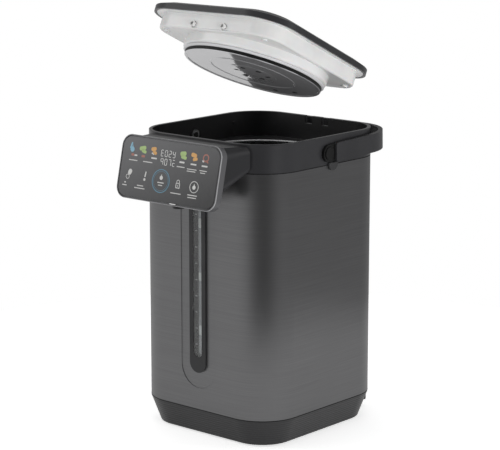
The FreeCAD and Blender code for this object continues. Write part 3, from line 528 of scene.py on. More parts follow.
combine(head, "DIFFERENCE", (round_bar("nozzle_hole", nozzle_radius + 0.0001,
                                       (0, nozzle_y, keel_low - past),
                                       (0, nozzle_y, 0.2975)),))
soften(head, 0.0008, 2)
wear(head, head_abs, "black_plastic", "root", "spout_head")


# Spout nozzle
# A short tube of black polypropylene pushed up into the keel, with a small bevel round its
# open end.

# Black polypropylene: waxy, and a little rougher than the head above it.
nozzle_pp = moulded_plastic("black_polypropylene", "202021", "29292a", 0.42)
nozzle = turned("spout_tube", (
    (0.0038, 0.2935), (0.004, 0.2615), (0.0045, 0.2605), (0.0064, 0.2605), (0.0068, 0.2607),
    (0.007, 0.2612), (0.007, 0.2740), (0.0066, 0.2745), (0.0066, 0.2755), (0.007, 0.2760),
    (0.007, 0.2978), (0.0005, 0.2978), (0.0005, 0.2935), (0.0038, 0.2935)), 0, nozzle_y, 48)
wear(nozzle, nozzle_pp, "black_plastic", "root", "spout_nozzle")


# Control panel frame
# The bezel round the panel, moulded in dark grey ABS, with a painted highlight on the narrow edge
# at its front.
# It snaps onto the front of the spout head.

# Polished dark grey ABS, and a paler colour on its front edge: a painted highlight that draws a
# thin bright line round the glass.
bezel_abs = moulded_plastic("polished_dark_grey_abs", "48484a", "525254", 0.2, 0.8, 0.03)
edge_highlight_abs = moulded_plastic("painted_edge_highlight_abs", "8c8c8e", "98989a", 0.15, 0.8, 0.02)
panel_half = 0.0715
panel_corner = 0.013
frame_lip = 0.0022
edge_bevel = 0.0011
edge_flat = 0.0010
glass_in = 0.0004
glass_thick = 0.0016


def on_panel(piece):
    """Move a piece drawn flat, x along the panel, y down it and z into it, onto the panel."""
    make_active(piece)
    piece.matrix_world = panel_place @ piece.matrix_world
    return settle(piece)


bezel = block("panel_bezel", (-panel_half, 0, 0), (panel_half, panel_height, frame_depth),
              panel_corner, 2, 16)
pick(bezel, "EDGE", lambda middle, way: middle.z < 0.00001 and abs(way.z) < 0.1)
bpy.ops.mesh.bevel(offset=edge_bevel, segments=3, affect="EDGES")
settle(bezel)
pick(bezel, "FACE", lambda middle, normal: normal.z < -0.95)
sink(edge_flat, (0, 0, frame_lip))
settle(bezel)
soften(bezel, 0.0002, 2)
wear(bezel, bezel_abs, "black_plastic", "root", "panel_frame")
# The front edge's bevel takes the paler colour, a painted highlight.
second_finish(bezel, edge_highlight_abs,
              lambda middle, normal: middle.z < edge_bevel and -0.95 < normal.z < -0.2)
on_panel(bezel)


# Panel glass
# A sheet of smoked acrylic over the display, clipped into the bezel, with its signs printed
# on the front.

# Smoked acrylic, satin, with a painted reflection on it: nearly black at its lower right, greyer
# towards its upper left.
smoked, shader = new_material("smoked_acrylic", Roughness=0.35, IOR=1.49, Specular_IOR_Level=0.35)
place = add_node(smoked, "TexCoord").outputs["Object"]
# The painted reflection: the grey rises towards the panel's upper left.
painted_reflection_slope = add_node(smoked, "VectorMath", {0: place, 1: (-3.6, 0, 7.9)}, operation="DOT_PRODUCT")
speck = add_node(smoked, "TexNoise", {"Vector": place, "Scale": 260.0, "Detail": 3.0})
mixed = add_node(smoked, "Math", {
    0: speck, 1: 0.12, 2: painted_reflection_slope.outputs["Value"]}, operation="MULTIPLY_ADD")
depth = add_node(smoked, "Math", {0: mixed, 1: 1.95}, operation="SUBTRACT")
tone = add_node(smoked, "ValToRGB", {0: depth}, stops=((0.0, "0c0c0e"), (1.0, "5e5e60")))
orange_peel = add_node(smoked, "Bump", {"Height": speck, "Strength": 0.02, "Distance": 0.0002})
connect(shader, {"Base Color": tone, "Normal": orange_peel})

glass_edge = frame_lip + 0.0001
glass = block("panel_sheet", (-panel_half + glass_edge, glass_edge, glass_in),
              (panel_half - glass_edge, panel_height - glass_edge, glass_in + glass_thick),
              panel_corner - glass_edge, 2, 16)
soften(glass, 0.0002, 2)
on_panel(glass)
wear(glass, smoked, "panel_glass", "root", "panel_glass")


# Panel signs
# Ink printed on the glass: rounded patches and plain signs for heat, cold, lock and water,
# a seven-bar display in the middle and a ring round the pour key.

def printed_ink(name, code, glow=0.0):
    """Screen printed ink: an even colour that thins a little in specks of 0.3 mm. Where a glow is
    given, the ink glows a little too, as painted light.
    """
    made, shader = new_material(name, Roughness=0.35, Emission_Strength=glow,
                                Emission_Color=linear(code))
    place = add_node(made, "TexCoord").outputs["Object"]
    speck = add_node(made, "TexNoise", {"Vector": place, "Scale": 3300.0, "Detail": 2.0})
    tone = add_node(made, "Mix", {
        0: 0.25, 6: linear(code), 7: speck.outputs["Color"]}, data_type="RGBA",
        blend_type="MULTIPLY")
    connect(shader, {"Base Color": tone.outputs[2]})
    return made


ink_depth = 0.00012


def bar(x, y, wide, high, turn=0.0, round_by=0.3):
    """A printed bar in millimetres on the panel, turned about its middle."""
    half = ink_depth / 2
    piece = block("bar", (-wide / 2000, -high / 2000, -half), (wide / 2000, high / 2000, half),
                  min(wide, high) * round_by / 1000, 2, 4)
    piece.rotation_euler = (0, 0, math.radians(turn))
    piece.location = (x / 1000, y / 1000, glass_in - half)
    return settle(piece)


def ring(x, y, outer, inner):
    """A printed ring in millimetres on the panel."""
    near, far = inner / 1000, outer / 1000
    top = glass_in - ink_depth
    return turned("ring", ((near, top), (far, top), (far, glass_in), (near, glass_in),
                           (near, top)), x / 1000, y / 1000, 48)


def drop(x, y, radius):
    """A printed drop of water, point up."""
    piece = round_bar("drop", radius / 1000, (x / 1000, y / 1000, glass_in - ink_depth),
                      (x / 1000, y / 1000, glass_in), 24)
    pick(piece, "VERT", lambda point, normal: point.y < (y - radius * 0.98) / 1000)
    bpy.ops.transform.translate(value=(0, -radius * 0.9 / 1000, 0))
    return settle(piece)


def print_signs(name, made, *signs):
    """Join the signs of one ink, and put them on the panel."""
    return wear(on_panel(join(name, signs)), made, "white_plastic", "root")


def digit(x, y, size, bars):
    """A seven-bar digit: bars is the string of the bars that are lit, of abcdefg."""
    w = size * 0.5
    places = {"a": (0, -size / 2, w, 0), "b": (w / 2, -size / 4, size / 2, 90),
              "c": (w / 2, size / 4, size / 2, 90), "d": (0, size / 2, w, 0),
              "e": (-w / 2, size / 4, size / 2, 90), "f": (-w / 2, -size / 4, size / 2, 90),
              "g": (0, 0, w, 0)}
    return [bar(x + places[key][0], y + places[key][1], places[key][2] * 0.86, size * 0.11,
                places[key][3]) for key in bars]


# The coloured inks glow a little, as painted light, so that the signs stand out.
print_signs("signs_water_blue", printed_ink("light_blue_ink", "6f9fb4", 0.15),
            drop(-55.5, 16.0, 2.9), bar(-57.6, 12.0, 2.0, 7.0, 18))
print_signs("signs_leaf_green", printed_ink("leaf_green_ink", "93ad68", 0.15),
            bar(-40.5, 13.4, 9.5, 4.4, -12, 0.45), bar(-38.2, 16.6, 7.0, 3.4, 14, 0.45),
            bar(18.0, 12.9, 8.5, 4.8, -8, 0.45), bar(19.4, 16.6, 8.0, 3.6, 10, 0.45))
print_signs("signs_cup_amber", printed_ink("amber_ink", "bf8d46", 0.15),
            bar(-24.5, 12.6, 7.5, 4.2, -10, 0.45), bar(-22.5, 16.4, 6.0, 3.6, 12, 0.45),
            bar(33.2, 12.8, 8.0, 4.4, 10, 0.45), bar(35.4, 16.8, 6.5, 3.4, -14, 0.45))
print_signs("signs_bean_brown", printed_ink("red_brown_ink", "8f5344", 0.2),
            ring(50.0, 14.0, 4.2, 2.9), bar(52.0, 17.6, 4.5, 1.4, 30),
            bar(-54.0, 21.6, 4.0, 2.4), bar(-38.5, 21.8, 5.0, 2.4))
print_signs("signs_pour_ring", printed_ink("dim_blue_ink", "42758c", 0.15),
            ring(-8.5, 44.8, 12.6, 11.7), ring(-8.5, 44.8, 10.4, 10.1))

# The white signs glow a little too, as painted light.
white_signs = [bar(*spot) for spot in (
    (-49.4, 21.9, 4.0, 1.6), (-22.6, 22.2, 8.0, 1.6), (17.6, 22.0, 7.0, 1.8),
    (34.0, 22.4, 8.0, 1.6), (49.6, 22.6, 8.0, 1.6),
    (-52.4, 27.4, 12.5, 0.9), (-31.0, 27.2, 13.5, 0.9), (16.6, 27.0, 11.0, 0.9),
    (32.6, 27.8, 13.5, 0.8), (32.0, 30.0, 12.0, 0.8), (48.6, 27.6, 10.0, 0.8),
    (48.2, 29.9, 7.0, 0.8), (-60.0, 54.8, 6.5, 1.0), (-59.6, 51.8, 2.0, 1.4),
    (-37.2, 53.2, 9.0, 0.9), (-37.6, 56.0, 15.0, 0.9), (-8.4, 46.6, 9.0, 1.0),
    (-8.6, 49.4, 6.0, 0.9), (14.6, 55.2, 14.5, 0.9), (38.2, 54.4, 13.5, 0.9),
    (38.0, 57.0, 12.0, 0.9), (-25.0, 17.6, 3.6, 1.5, 20), (47.0, 17.4, 2.6, 2.4),
    (-31.6, 40.4, 1.5, 6.0, 8), (-32.2, 46.0, 2.9, 3.0, 0, 0.48))]
white_signs += [drop(-8.4, 41.4, 2.2), drop(39.2, 46.0, 2.2), ring(39.2, 45.6, 6.2, 5.5),
                ring(16.2, 42.8, 2.2, 1.5), bar(16.2, 44.6, 5.8, 0.8), bar(16.2, 49.2, 5.8, 0.8),
                bar(13.7, 46.9, 0.8, 4.8), bar(18.7, 46.9, 0.8, 4.8),
                bar(16.2, 46.9, 0.9, 1.6),
                bar(-54.4, 40.2, 5.0, 6.4, 24, 0.45), ring(-57.0, 45.4, 2.6, 2.0)]
for column, (upper, lower) in enumerate((("afged", "afgbc"), ("abcdef", "abcdef"),
                                         ("abged", "abc"), ("fgbcd", "aged"))):
    white_signs += digit(-11.6 + column * 5.6, 15.4, 6.4, upper)
    white_signs += digit(-10.8 + column * 5.6, 24.4, 6.4, lower)
print_signs("signs_white", printed_ink("white_ink", "c2c2c0", 0.12), *white_signs)

# A small frosted insert in the bezel's lower edge, which stands out white with a painted glow.
insert_left = 0.0085
insert_right = 0.0165
insert = block("sensor_insert", (insert_left, panel_height - 0.0021, 0.0001),
               (insert_right, panel_height - 0.0009, 0.0012), 0.0004, 2, 3)
on_panel(insert)
frosted = printed_ink("frosted_white_acrylic", "e6e6e6", 0.3)
wear(insert, frosted, "white_plastic", "root")


# Water gauge
# A long bezel of speckled black ABS set in the shell's recess. Its clear window shows a
# strip that carries the scale, in front of the gauge tube.

# Black ABS with pale specks of 1.6 mm, which make the bezel look grainy.
gauge_abs = moulded_plastic("speckled_black_abs", "18181a", "2a2a2b", 0.4, 1.6, 0.15)
gauge_half = 0.0115
gauge_low = 0.0735
gauge_high = 0.274
gauge_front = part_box("gauge_bezel")[0].y
window_half = 0.006
window_low = 0.091
window_high = 0.262
window_in = 0.0004
window_thick = 0.0015
strip_in = 0.0024
patches = ((0.2400, 0.0105), (0.1810, 0.009), (0.1215, 0.0105))
first_tick = 0.105
tick_step = 0.018


def upright_pill(name, half, low, high, front, back, steps=16):
    """A block with round ends, standing on the front of the pot."""
    return block(name, (-half, front, low), (half, back, high), half - 0.00005, 1, steps)


gauge = upright_pill("gauge_surround", gauge_half, gauge_low, gauge_high, gauge_front,
                     front_y + recess_depth - 0.0001)
combine(gauge, "DIFFERENCE", (upright_pill("opening", window_half + 0.0001, window_low - 0.0001,
                                           window_high + 0.0001, gauge_front - past, 0.0),))
soften(gauge, 0.0004, 3)
wear(gauge, gauge_abs, "black_plastic", "root", "gauge_bezel")

# Clear acrylic with the faintest haze, so that the strip behind it shows.
clear_acrylic, shader = new_material("clear_acrylic", Roughness=0.06, IOR=1.49,
                                     Transmission_Weight=1.0)
place = add_node(clear_acrylic, "TexCoord").outputs["Object"]
haze = add_node(clear_acrylic, "TexNoise", {"Vector": place, "Scale": 60.0, "Detail": 2.0})
tone = add_node(clear_acrylic, "ValToRGB", {0: haze}, stops=((0.0, "dfe3e4"), (1.0, "f4f6f6")))
connect(shader, {"Base Color": tone})
window = upright_pill("gauge_pane", window_half, window_low, window_high,
                      gauge_front + window_in, gauge_front + window_in + window_thick)
soften(window, 0.0003, 2)
wear(window, clear_acrylic, "clear", "root", "gauge_window")

# The strip behind the window: half of it matt black, half light grey, with the scale's
# patches and ticks.
strip_dark = upright_pill("gauge_strip_dark", window_half + 0.0005, window_low - 0.0005,
                          window_high + 0.0005, gauge_front + strip_in, gauge_front + 0.0028)
wear(strip_dark, moulded_plastic("matt_black_strip", "1c1c1d", "242425", 0.6), "black_plastic",
     "root")
strip_light = block("gauge_strip_light", (0.0008, gauge_front + 0.00225, window_low + 0.004),
                    (0.0050, gauge_front + strip_in, window_high - 0.004), 0.0015, 1, 6)
wear(strip_light, printed_ink("grey_scale_ink", "8c8c8e"), "white_plastic", "root")
scale = []
for middle_z, tall in patches:
    scale.append(block("patch", (0.0009, gauge_front + 0.00212, middle_z - tall / 2),
                       (0.0049, gauge_front + 0.00225, middle_z + tall / 2), 0.0008, 1, 4))
for step in range(9):
    height = first_tick + step * tick_step
    scale.append(block("tick", (-0.0042, gauge_front + 0.0022, height - 0.0004),
                       (-0.0012, gauge_front + strip_in, height + 0.0004), 0.0002, 1, 2))
scale = join("gauge_scale", scale)
wear(scale, printed_ink("scale_white_ink", "c9c9c7"), "white_plastic", "root")


# Carrying handle
# One bow of dark grey nylon that goes round the back of the pot. Its ends turn on black
# nylon pins with broad heads, and two lugs below them hold it level.

# Dark grey nylon, satin from its mould. The pins are black nylon, painted near-black and matt with
# shade so that they look like holes, and the bow's eyes round them take the same painted shade.
handle_nylon = moulded_plastic("satin_dark_grey_nylon", "242426", "2d2d2f", 0.4)
pin_and_eye_shade_black = moulded_plastic("black_pin_nylon_and_painted_eye_shade", "070707", "0b0b0b", 0.6)
pivot = Vector((0, -0.004, 0.314))
pivot_radius = 0.0094
bail_half = 0.01025
bail_outer = 0.104
bail_inner = 0.099
bail_back = 0.1205
bail_corner = 0.047
bail_thick = 0.005
strap_start = 0.0052
eye_inner = 0.0984
eye_outer = 0.1014
cap_radius = 0.007
cap_outer = 0.1026
shank_radius = 0.003
shank_inner = 0.091
rise = math.radians(1.8)
risen = Matrix.Translation(pivot) @ Matrix.Rotation(rise, 4, "X") @ Matrix.Translation(-pivot)

bow = block("carry_bow", (-bail_outer, -0.15, pivot.z - bail_half),
            (bail_outer, bail_back, pivot.z + bail_half), bail_corner + bail_thick, 2, 24)
combine(bow, "DIFFERENCE", (
    block("inside", (-bail_inner, -0.20, 0.2), (bail_inner, bail_back - bail_thick, above_all),
          bail_corner, 2, 24),
    block("front_end", (-0.2, -0.3, 0.2), (0.2, strap_start, above_all))))
pick(bow, "EDGE", lambda middle, way: abs(way.x) > 0.9 and middle.y < strap_start + 0.0001)
bpy.ops.mesh.bevel(offset=0.003, segments=5, affect="EDGES")
settle(bow)
eyes = []
for side in (-1, 1):
    near = side * eye_inner
    far = side * eye_outer
    eyes.append(round_bar("eye", pivot_radius, (near, pivot.y, pivot.z), (far, pivot.y, pivot.z),
                          64))
    eyes.append(block("link", (min(side * bail_inner, far), pivot.y, pivot.z - pivot_radius),
                      (max(side * bail_inner, far), strap_start + 0.0004,
                       pivot.z + pivot_radius)))
combine(bow, "UNION", eyes)
combine(bow, "DIFFERENCE", (round_bar("pin_hole", shank_radius, (-0.12, pivot.y, pivot.z),
                                      (0.12, pivot.y, pivot.z)),))
soften(bow, 0.0011, 3)
bow.matrix_world = risen
settle(bow)
wear(bow, handle_nylon, "handle_plastic", "handle", "bail_handle")
# The bow's eyes round the pivots take the pins' near-black: painted shade.
second_finish(bow, pin_and_eye_shade_black, lambda middle, normal: middle.y < strap_start - 0.0003)

caps = []
for side in (-1, 1):
    caps.append(round_bar("cap", cap_radius, (side * eye_outer, pivot.y, pivot.z),
                          (side * cap_outer, pivot.y, pivot.z), 64))
    caps.append(round_bar("shank", shank_radius, (side * shank_inner, pivot.y, pivot.z),
                          (side * (eye_outer + 0.0001), pivot.y, pivot.z), 32))
caps = join("pivot_caps", caps)
soften(caps, 0.0005, 3)
caps.matrix_world = risen
settle(caps)
wear(caps, pin_and_eye_shade_black, "black_plastic", "handle", "handle_pins")

lug_low, lug_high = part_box("handle_lugs")
lug_round = 0.0075
lugs = []
for side in (-1, 1):
    inner = side * (side_x + 0.0003)
    outer = side * lug_high.x
    tongue = block("tongue", (min(inner, outer), lug_low.y, lug_low.z - lug_round),
                   (max(inner, outer), lug_high.y, lug_high.z))
    pick(tongue, "EDGE", lambda middle, way: abs(way.x) > 0.9 and middle.z < 0.29)
    bpy.ops.mesh.bevel(offset=lug_round - 0.00005, segments=12, affect="EDGES")
    settle(tongue)
    pick(tongue, "VERT", lambda point, normal: point.z < 0.2975)
    bpy.ops.transform.translate(value=(0, 0, lug_round))
    settle(tongue)
    lugs.append(tongue)
lugs = join("rest_lugs", lugs)
soften(lugs, 0.0006, 3)
wear(lugs, black_abs, "black_plastic", "root", "handle_lugs")


# Lid cover
# The lid's top moulding in dark grey ABS: an upright band and a crown that rises gently
# inside it. It turns on a steel axle at the back, above the collar's two notches.

# Dark grey ABS, satin, a little smoother than the collar.
cover_abs = moulded_plastic("satin_cover_grey_abs", "262628", "2e2e30", 0.33)
lid_y = -0.001
lid_seat = 0.3323
cover_half_x = 0.0955
cover_half_y = 0.10025
cover_corner = 0.042
cover_edge = 0.006
cover_crown = 0.005
crown_inset = 0.012
vent_y = 0.048
vent_gap = 0.014
key_room_half = 0.0173
key_room_front = -0.0838
key_room_back = -0.0664
axle = Vector((0, 0.094, 0.3363))
lid_turn = math.radians(-24.9)
lift_lean = math.radians(6.8)
lift_way = Vector((0, -math.sin(lift_lean), math.cos(lift_lean)))
lift_height = 0.0513
lifted = Matrix.Translation(lift_way * lift_height) @ Matrix.Translation(axle) \
    @ Matrix.Rotation(lid_turn, 4, "X") @ Matrix.Translation(-axle)


def lift(piece):
    """Move a finished piece of the lid from its closed place to where it is held."""
    make_active(piece)
    piece.matrix_world = lifted
    return settle(piece)


cover = block("lid_top", (-cover_half_x, lid_y - cover_half_y, lid_seat),
              (cover_half_x, lid_y + cover_half_y, lid_seat + cover_edge), cover_corner, 2, 24)
pick(cover, "FACE", lambda middle, normal: normal.z > 0.9)
bpy.ops.mesh.inset(thickness=crown_inset, depth=cover_crown)
settle(cover)
pick(cover, "FACE", lambda middle, normal: normal.z < -0.9)
bpy.ops.mesh.inset(thickness=0.003, depth=0)
bpy.ops.mesh.inset(thickness=0.0002, depth=-0.0012)
settle(cover)
vents = [block("vent", (x - 0.004, vent_y, lid_seat + cover_edge),
               (x + 0.004, vent_y + 0.002, lid_seat + 0.02), 0.0009, 2, 4)
         for x in (-vent_gap, 0, vent_gap)]


def key_room():
    """The room that the release key and its travel need, in the cover and in the tub."""
    return block("key_room", (-key_room_half, key_room_front, lid_seat - 0.004),
                 (key_room_half, key_room_back, lid_seat + 0.02), 0.0013, 2, 5)


axle_gap = block("axle_gap", (-0.0175, axle.y - 0.0036, lid_seat - 0.001),
                 (0.0175, 0.11, axle.z + 0.0026))
combine(cover, "DIFFERENCE", (*vents, key_room(), axle_gap))
soften(cover, 0.0009, 3, 15)
lift(cover)
wear(cover, cover_abs, "cover_plastic", "lid", "lid_cover")


# Lid tub
# The inside of the lid, moulded in white polypropylene: a flat flange, a tub with broad
# round lower edges, and a round plug that goes down into the container's mouth.

# White polypropylene: pale and waxy, with light that goes just under its skin.
white_pp, shader = new_material("white_polypropylene", Roughness=0.2, IOR=1.49,
                                Subsurface_Weight=0.08, Subsurface_Scale=0.004)
place = add_node(white_pp, "TexCoord").outputs["Object"]
flow = add_node(white_pp, "TexNoise", {"Vector": place, "Scale": 26.0, "Detail": 3.0})
tone = add_node(white_pp, "ValToRGB", {0: flow}, stops=((0.35, "d6d6d6"), (0.7, "e0e0df")))
sparked = add_node(white_pp, "TexNoise", {"Vector": place, "Scale": 900.0, "Detail": 3.0})
fine = add_node(white_pp, "Bump", {"Height": sparked, "Strength": 0.05, "Distance": 0.0002})
connect(shader, {"Base Color": tone, "Normal": fine})

tub_half_x = 0.08575
tub_half_y = 0.0875
tub_corner = 0.029
tub_height = 0.0165
plug_radius = 0.081
plug_low = 0.305
flange_in = 0.0031
peg_x = 0.0215
peg_z = lid_seat - 0.011
peg_radius = 0.0032
wall_y = lid_y - tub_half_y

tub = block("lid_liner", (-tub_half_x, lid_y - tub_half_y, lid_seat - tub_height),
            (tub_half_x, lid_y + tub_half_y, lid_seat + 0.0003), tub_corner, 2, 20)
pick(tub, "EDGE", lambda middle, way: middle.z < lid_seat - tub_height + 0.0001
     and abs(way.z) < 0.1)
bpy.ops.mesh.bevel(offset=0.0026, segments=5, affect="EDGES")
settle(tub)
flange = block("flange", (-cover_half_x + flange_in, lid_y - cover_half_y + flange_in, lid_seat),
               (cover_half_x - flange_in, lid_y + cover_half_y - flange_in, lid_seat + 0.0012),
               cover_corner - flange_in, 2, 24)
plug = turned("plug", ((0.010, plug_low), (plug_radius - 0.0036, plug_low),
                       (plug_radius - 0.0022, plug_low + 0.0003),
                       (plug_radius - 0.0010, plug_low + 0.0011),
                       (plug_radius - 0.0003, plug_low + 0.0022), (plug_radius, plug_low + 0.0035),
                       (plug_radius, lid_seat - tub_height + 0.001),
                       (0.010, lid_seat - tub_height + 0.001), (0.010, plug_low)))
combine(tub, "UNION", (flange, plug))


def along_pegs(name, radius, start, end, sides=32):
    """A bar on the axis of each peg, between two distances behind the tub's front wall."""
    return [round_bar(name, radius, (side * peg_x, wall_y + start, peg_z),
                      (side * peg_x, wall_y + end, peg_z), sides) for side in (-1, 1)]


hinge_gap = block("hinge_gap", (-0.0223, axle.y - 0.0053, lid_seat - 0.001),
                  (0.0223, 0.106, lid_seat + 0.004))
combine(tub, "DIFFERENCE", (*along_pegs("peg_hole", peg_radius + 0.0003, -0.001, 0.0032),
                            hinge_gap, key_room()))
soften(tub, 0.0005, 2, 40)
lift(tub)
wear(tub, white_pp, "white_plastic", "lid", "lid_tub")


# Lid seal
# A ring of grey silicone rubber held between the plug and the steel disc, with a soft
# rounded edge that presses on the container's wall.

# Pale grey silicone rubber: soft and even, nearly as bright as the tub.
silicone = moulded_plastic("pale_grey_silicone", "cbcbcd", "d6d6d8", 0.45, 0.6, 0.05)
seal_radius = 0.0797
seal_low = 0.3022
seal = turned("mouth_seal", ((0.070, seal_low), (0.0775, seal_low), (0.0783, seal_low + 0.0003),
                             (seal_radius, seal_low + 0.0016), (seal_radius, seal_low + 0.0021),
                             (0.0788, seal_low + 0.0028), (0.070, seal_low + 0.0028),
                             (0.070, seal_low)))
lift(seal)
wear(seal, silicone, "silicone", "lid", "lid_seal")


# Lid disc
# A pan of stainless steel pressed in shallow rings, that faces the steam. Six slots round its
# middle and two at the back let steam up. Painted shade darkens the slots, and a painted dark
# reflection the rim.

# Pressed stainless steel: half a mirror, half a grey haze that drifts over 20 mm.
pressed_steel, shader = new_material("pressed_stainless_steel", Metallic=0.5, Roughness=0.05)
place = add_node(pressed_steel, "TexCoord").outputs["Object"]
satin = add_node(pressed_steel, "TexNoise", {"Vector": place, "Scale": 55.0, "Detail": 4.0})
tone = add_node(pressed_steel, "ValToRGB", {0: satin}, stops=((0.0, "bdbdbf"), (1.0, "c9c9cb")))
haze = add_node(pressed_steel, "MapRange", {0: satin, 3: 0.04, 4: 0.06})
connect(shader, {"Base Color": tone, "Roughness": haze})

disc_radius = 0.0772
disc_low = 0.298
disc_high = 0.3022
disc_lip = 0.072
disc_steel = 0.0008
disc_floor = disc_low + 0.0007
disc_raised = disc_floor - 0.0004
middle_step = 0.0275
ring_step = 0.0482
slot_circle = 0.018
slot_half = 0.0034
slot_half_wide = 0.002
profile = [(0.0003, disc_raised), (middle_step - 0.0006, disc_raised),
           (middle_step, disc_floor), (ring_step - 0.0018, disc_floor),
           (ring_step - 0.0012, disc_raised), (ring_step, disc_raised),
           (ring_step + 0.0006, disc_floor), (disc_radius - 0.0034, disc_floor),
           (disc_radius - 0.0028, disc_low), (disc_radius - 0.0006, disc_low),
           (disc_radius, disc_low + 0.0006), (disc_radius, disc_high), (disc_lip, disc_high),
           (disc_lip, disc_high - disc_steel), (disc_radius - 0.001, disc_high - disc_steel),
           (disc_radius - 0.001, disc_floor + 0.0012), (0.0003, disc_floor + 0.0012),
           (0.0003, disc_raised)]
disc = turned("steam_disc", profile)


def slot_block(x, y):
    """A slot with round ends, centred on a place on the disc."""
    return block("slot", (x - slot_half, y - slot_half_wide, disc_low - 0.002),
                 (x + slot_half, y + slot_half_wide, disc_low + 0.003), slot_half_wide - 0.0001,
                 2, 6)


slots = [slot_block(slot_circle * math.cos(math.radians(30 + 60 * step)),
                    slot_circle * math.sin(math.radians(30 + 60 * step))) for step in range(6)]
slots += [slot_block(-0.014, 0.0615), slot_block(0.014, 0.0615)]
combine(disc, "DIFFERENCE", slots)
shade(disc, 6)
wear(disc, pressed_steel, "steel", "lid", "lid_disc")
# Matt near-black on the upright faces: painted shade in the slots, and a painted dark reflection
# along the rim.
slot_rim_shade_black = moulded_plastic("painted_slot_and_rim_shade", "0a0a0a", "101010", 0.6, 0.6, 0.1)
second_finish(disc, slot_rim_shade_black, lambda middle, normal: abs(normal.z) < 0.5)
lift(disc)


# Latch pegs
# Two hollow pegs on a bar of white acetal. A spring holds them out through the tub's front
# wall, and the button draws them in.

# White acetal: smooth, and a little greyer than the tub.
acetal = moulded_plastic("white_acetal", "d2d2d1", "dcdcdb", 0.3, 1.0, 0.05)
bar_in = 0.0025
bar_y = wall_y + bar_in
bar_half = 0.0285
bar_half_height = 0.0028
peg_bar = block("latch_bar", (-bar_half, bar_y, peg_z - bar_half_height),
                (bar_half, bar_y + 0.007, peg_z + bar_half_height), 0.001, 0, 3)
combine(peg_bar, "UNION", along_pegs("peg", peg_radius, -0.0035, bar_in + 0.001, 40))
combine(peg_bar, "DIFFERENCE", along_pegs("bore", 0.002, -0.006, 0.001))
soften(peg_bar, 0.0003, 2)
lift(peg_bar)
wear(peg_bar, acetal, "white_plastic", "latch", "latch_pegs")


# Release button
# A long key of mid grey ABS in the cover's front, dished for a finger, that draws the latch
# pegs in.

# Mid grey ABS, so that the key stands out on the cover.
button_abs = moulded_plastic("satin_button_grey_abs", "4b4b4d", "555557", 0.3)
button_top = lid_seat + cover_edge + cover_crown + 0.001
button_dish = 0.0007
key_gap = 0.0003
button = block("release_key", (-key_room_half + key_gap, key_room_front + key_gap,
                               lid_seat + cover_edge - 0.003),
               (key_room_half - key_gap, -0.0685, button_top), 0.0012, 2, 5)
pick(button, "FACE", lambda middle, normal: normal.z > 0.9)
sink(0.0010, (0, 0, -button_dish))
settle(button)
soften(button, 0.0005, 2, 25)
lift(button)
wear(button, button_abs, "cover_plastic", "button", "release_button")


# Hinge
# A steel axle and two hooks of black nylon that drop into the collar's notches, so that the
# lid tilts on them or lifts away with them.

# Zinc plated steel: a soft grey shine, mottled every 3 mm by the plating.
zinc_steel = bare_metal("zinc_plated_steel", "8f9091", "b3b4b5", 0.35, 300.0)


def finish_nodes(made, *names):
    """Give a material to CAD nodes that stay as they are."""
    for name in names:
        for held in nodes[name].material_slots:
            held.link = "OBJECT"
            held.material = made


finish_nodes(white_pp, "lid_screws")
finish_nodes(zinc_steel, "hinge_axle", "bottom_screws", "latch_spring",
             "handle_clips", "pump_shaft")
finish_nodes(nylon, "hinge_hooks", "latch_keeper")


# Steam valve
# A small pot of white polypropylene in the middle of the lid, with a ball that shuts it if
# the pot falls over.

finish_nodes(white_pp, "steam_valve")


# Underside
# A flat cover moulded in black polypropylene with air slots, four screws, and a ring of
# rubber that keeps the pot from sliding.

# Black rubber: matt, with a coarse grain. The cover has the nozzle's polypropylene.
rubber = moulded_plastic("black_rubber", "1a1a1b", "252526", 0.85, 1.2, 0.3)
finish_nodes(nozzle_pp, "bottom_cover")
finish_nodes(rubber, "foot_ring")


# Inside the body
# What heats and lifts the water: a felt wrap, an aluminium heater plate with its thermostat
# and fuse, a pump with a small motor below it, hoses of silicone and two circuit boards.

# Needled felt of grey fibres, fluffy and quite matt.
felt, shader = new_material("grey_needle_felt", Roughness=0.95, Sheen_Weight=0.3)
place = add_node(felt, "TexCoord").outputs["Object"]
fibres = add_node(felt, "TexNoise", {
    "Vector": place, "Scale": 700.0, "Detail": 6.0, "Distortion": 1.5})
tone = add_node(felt, "ValToRGB", {0: fibres}, stops=((0.0, "8e8c88"), (1.0, "c4c2bd")))
tufts = add_node(felt, "Bump", {"Height": fibres, "Strength": 0.6, "Distance": 0.0008})
connect(shader, {"Base Color": tone, "Normal": tufts})
finish_nodes(felt, "insulation_wrap")
# The heater plate, the thermostat and the motor's can are as grey as the plated steel.
finish_nodes(zinc_steel, "heater_plate", "thermostat", "pump_motor")

# Milky silicone for the hoses, and white nylon made dull by its glass fibres.
clear_silicone = moulded_plastic("milky_silicone", "c9c8c2", "d8d7d2", 0.4, 1.5, 0.05)
finish_nodes(clear_silicone, "spout_hose", "delivery_hose", "suction_sleeve")
filled_nylon = moulded_plastic("white_glass_filled_nylon", "c4c3be", "cfcec9", 0.5)
finish_nodes(filled_nylon, "pump_housing", "pump_impeller", "thermal_fuse")
# Fibreglass board under a green solder mask, with paler lines for its tracks.
board_green, shader = new_material("solder_masked_fibreglass", Roughness=0.4)
place = add_node(board_green, "TexCoord").outputs["Object"]
tracks = add_node(board_green, "TexBrick", {
    "Vector": place, "Scale": 160.0, "Color1": linear("1f5a3a"), "Color2": linear("23643f"),
    "Mortar": linear("2f7a4d"), "Mortar Size": 0.06})
connect(shader, {"Base Color": tracks})
finish_nodes(board_green, "power_board", "display_board")
# Turned brass: yellow and bright, with fine marks of about 1 mm.
brass = bare_metal("turned_brass", "b9974f", "d2b46c", 0.28, 900.0, 2.0)
finish_nodes(brass, "inlet_pins")
finish_nodes(clear_acrylic, "gauge_tube")


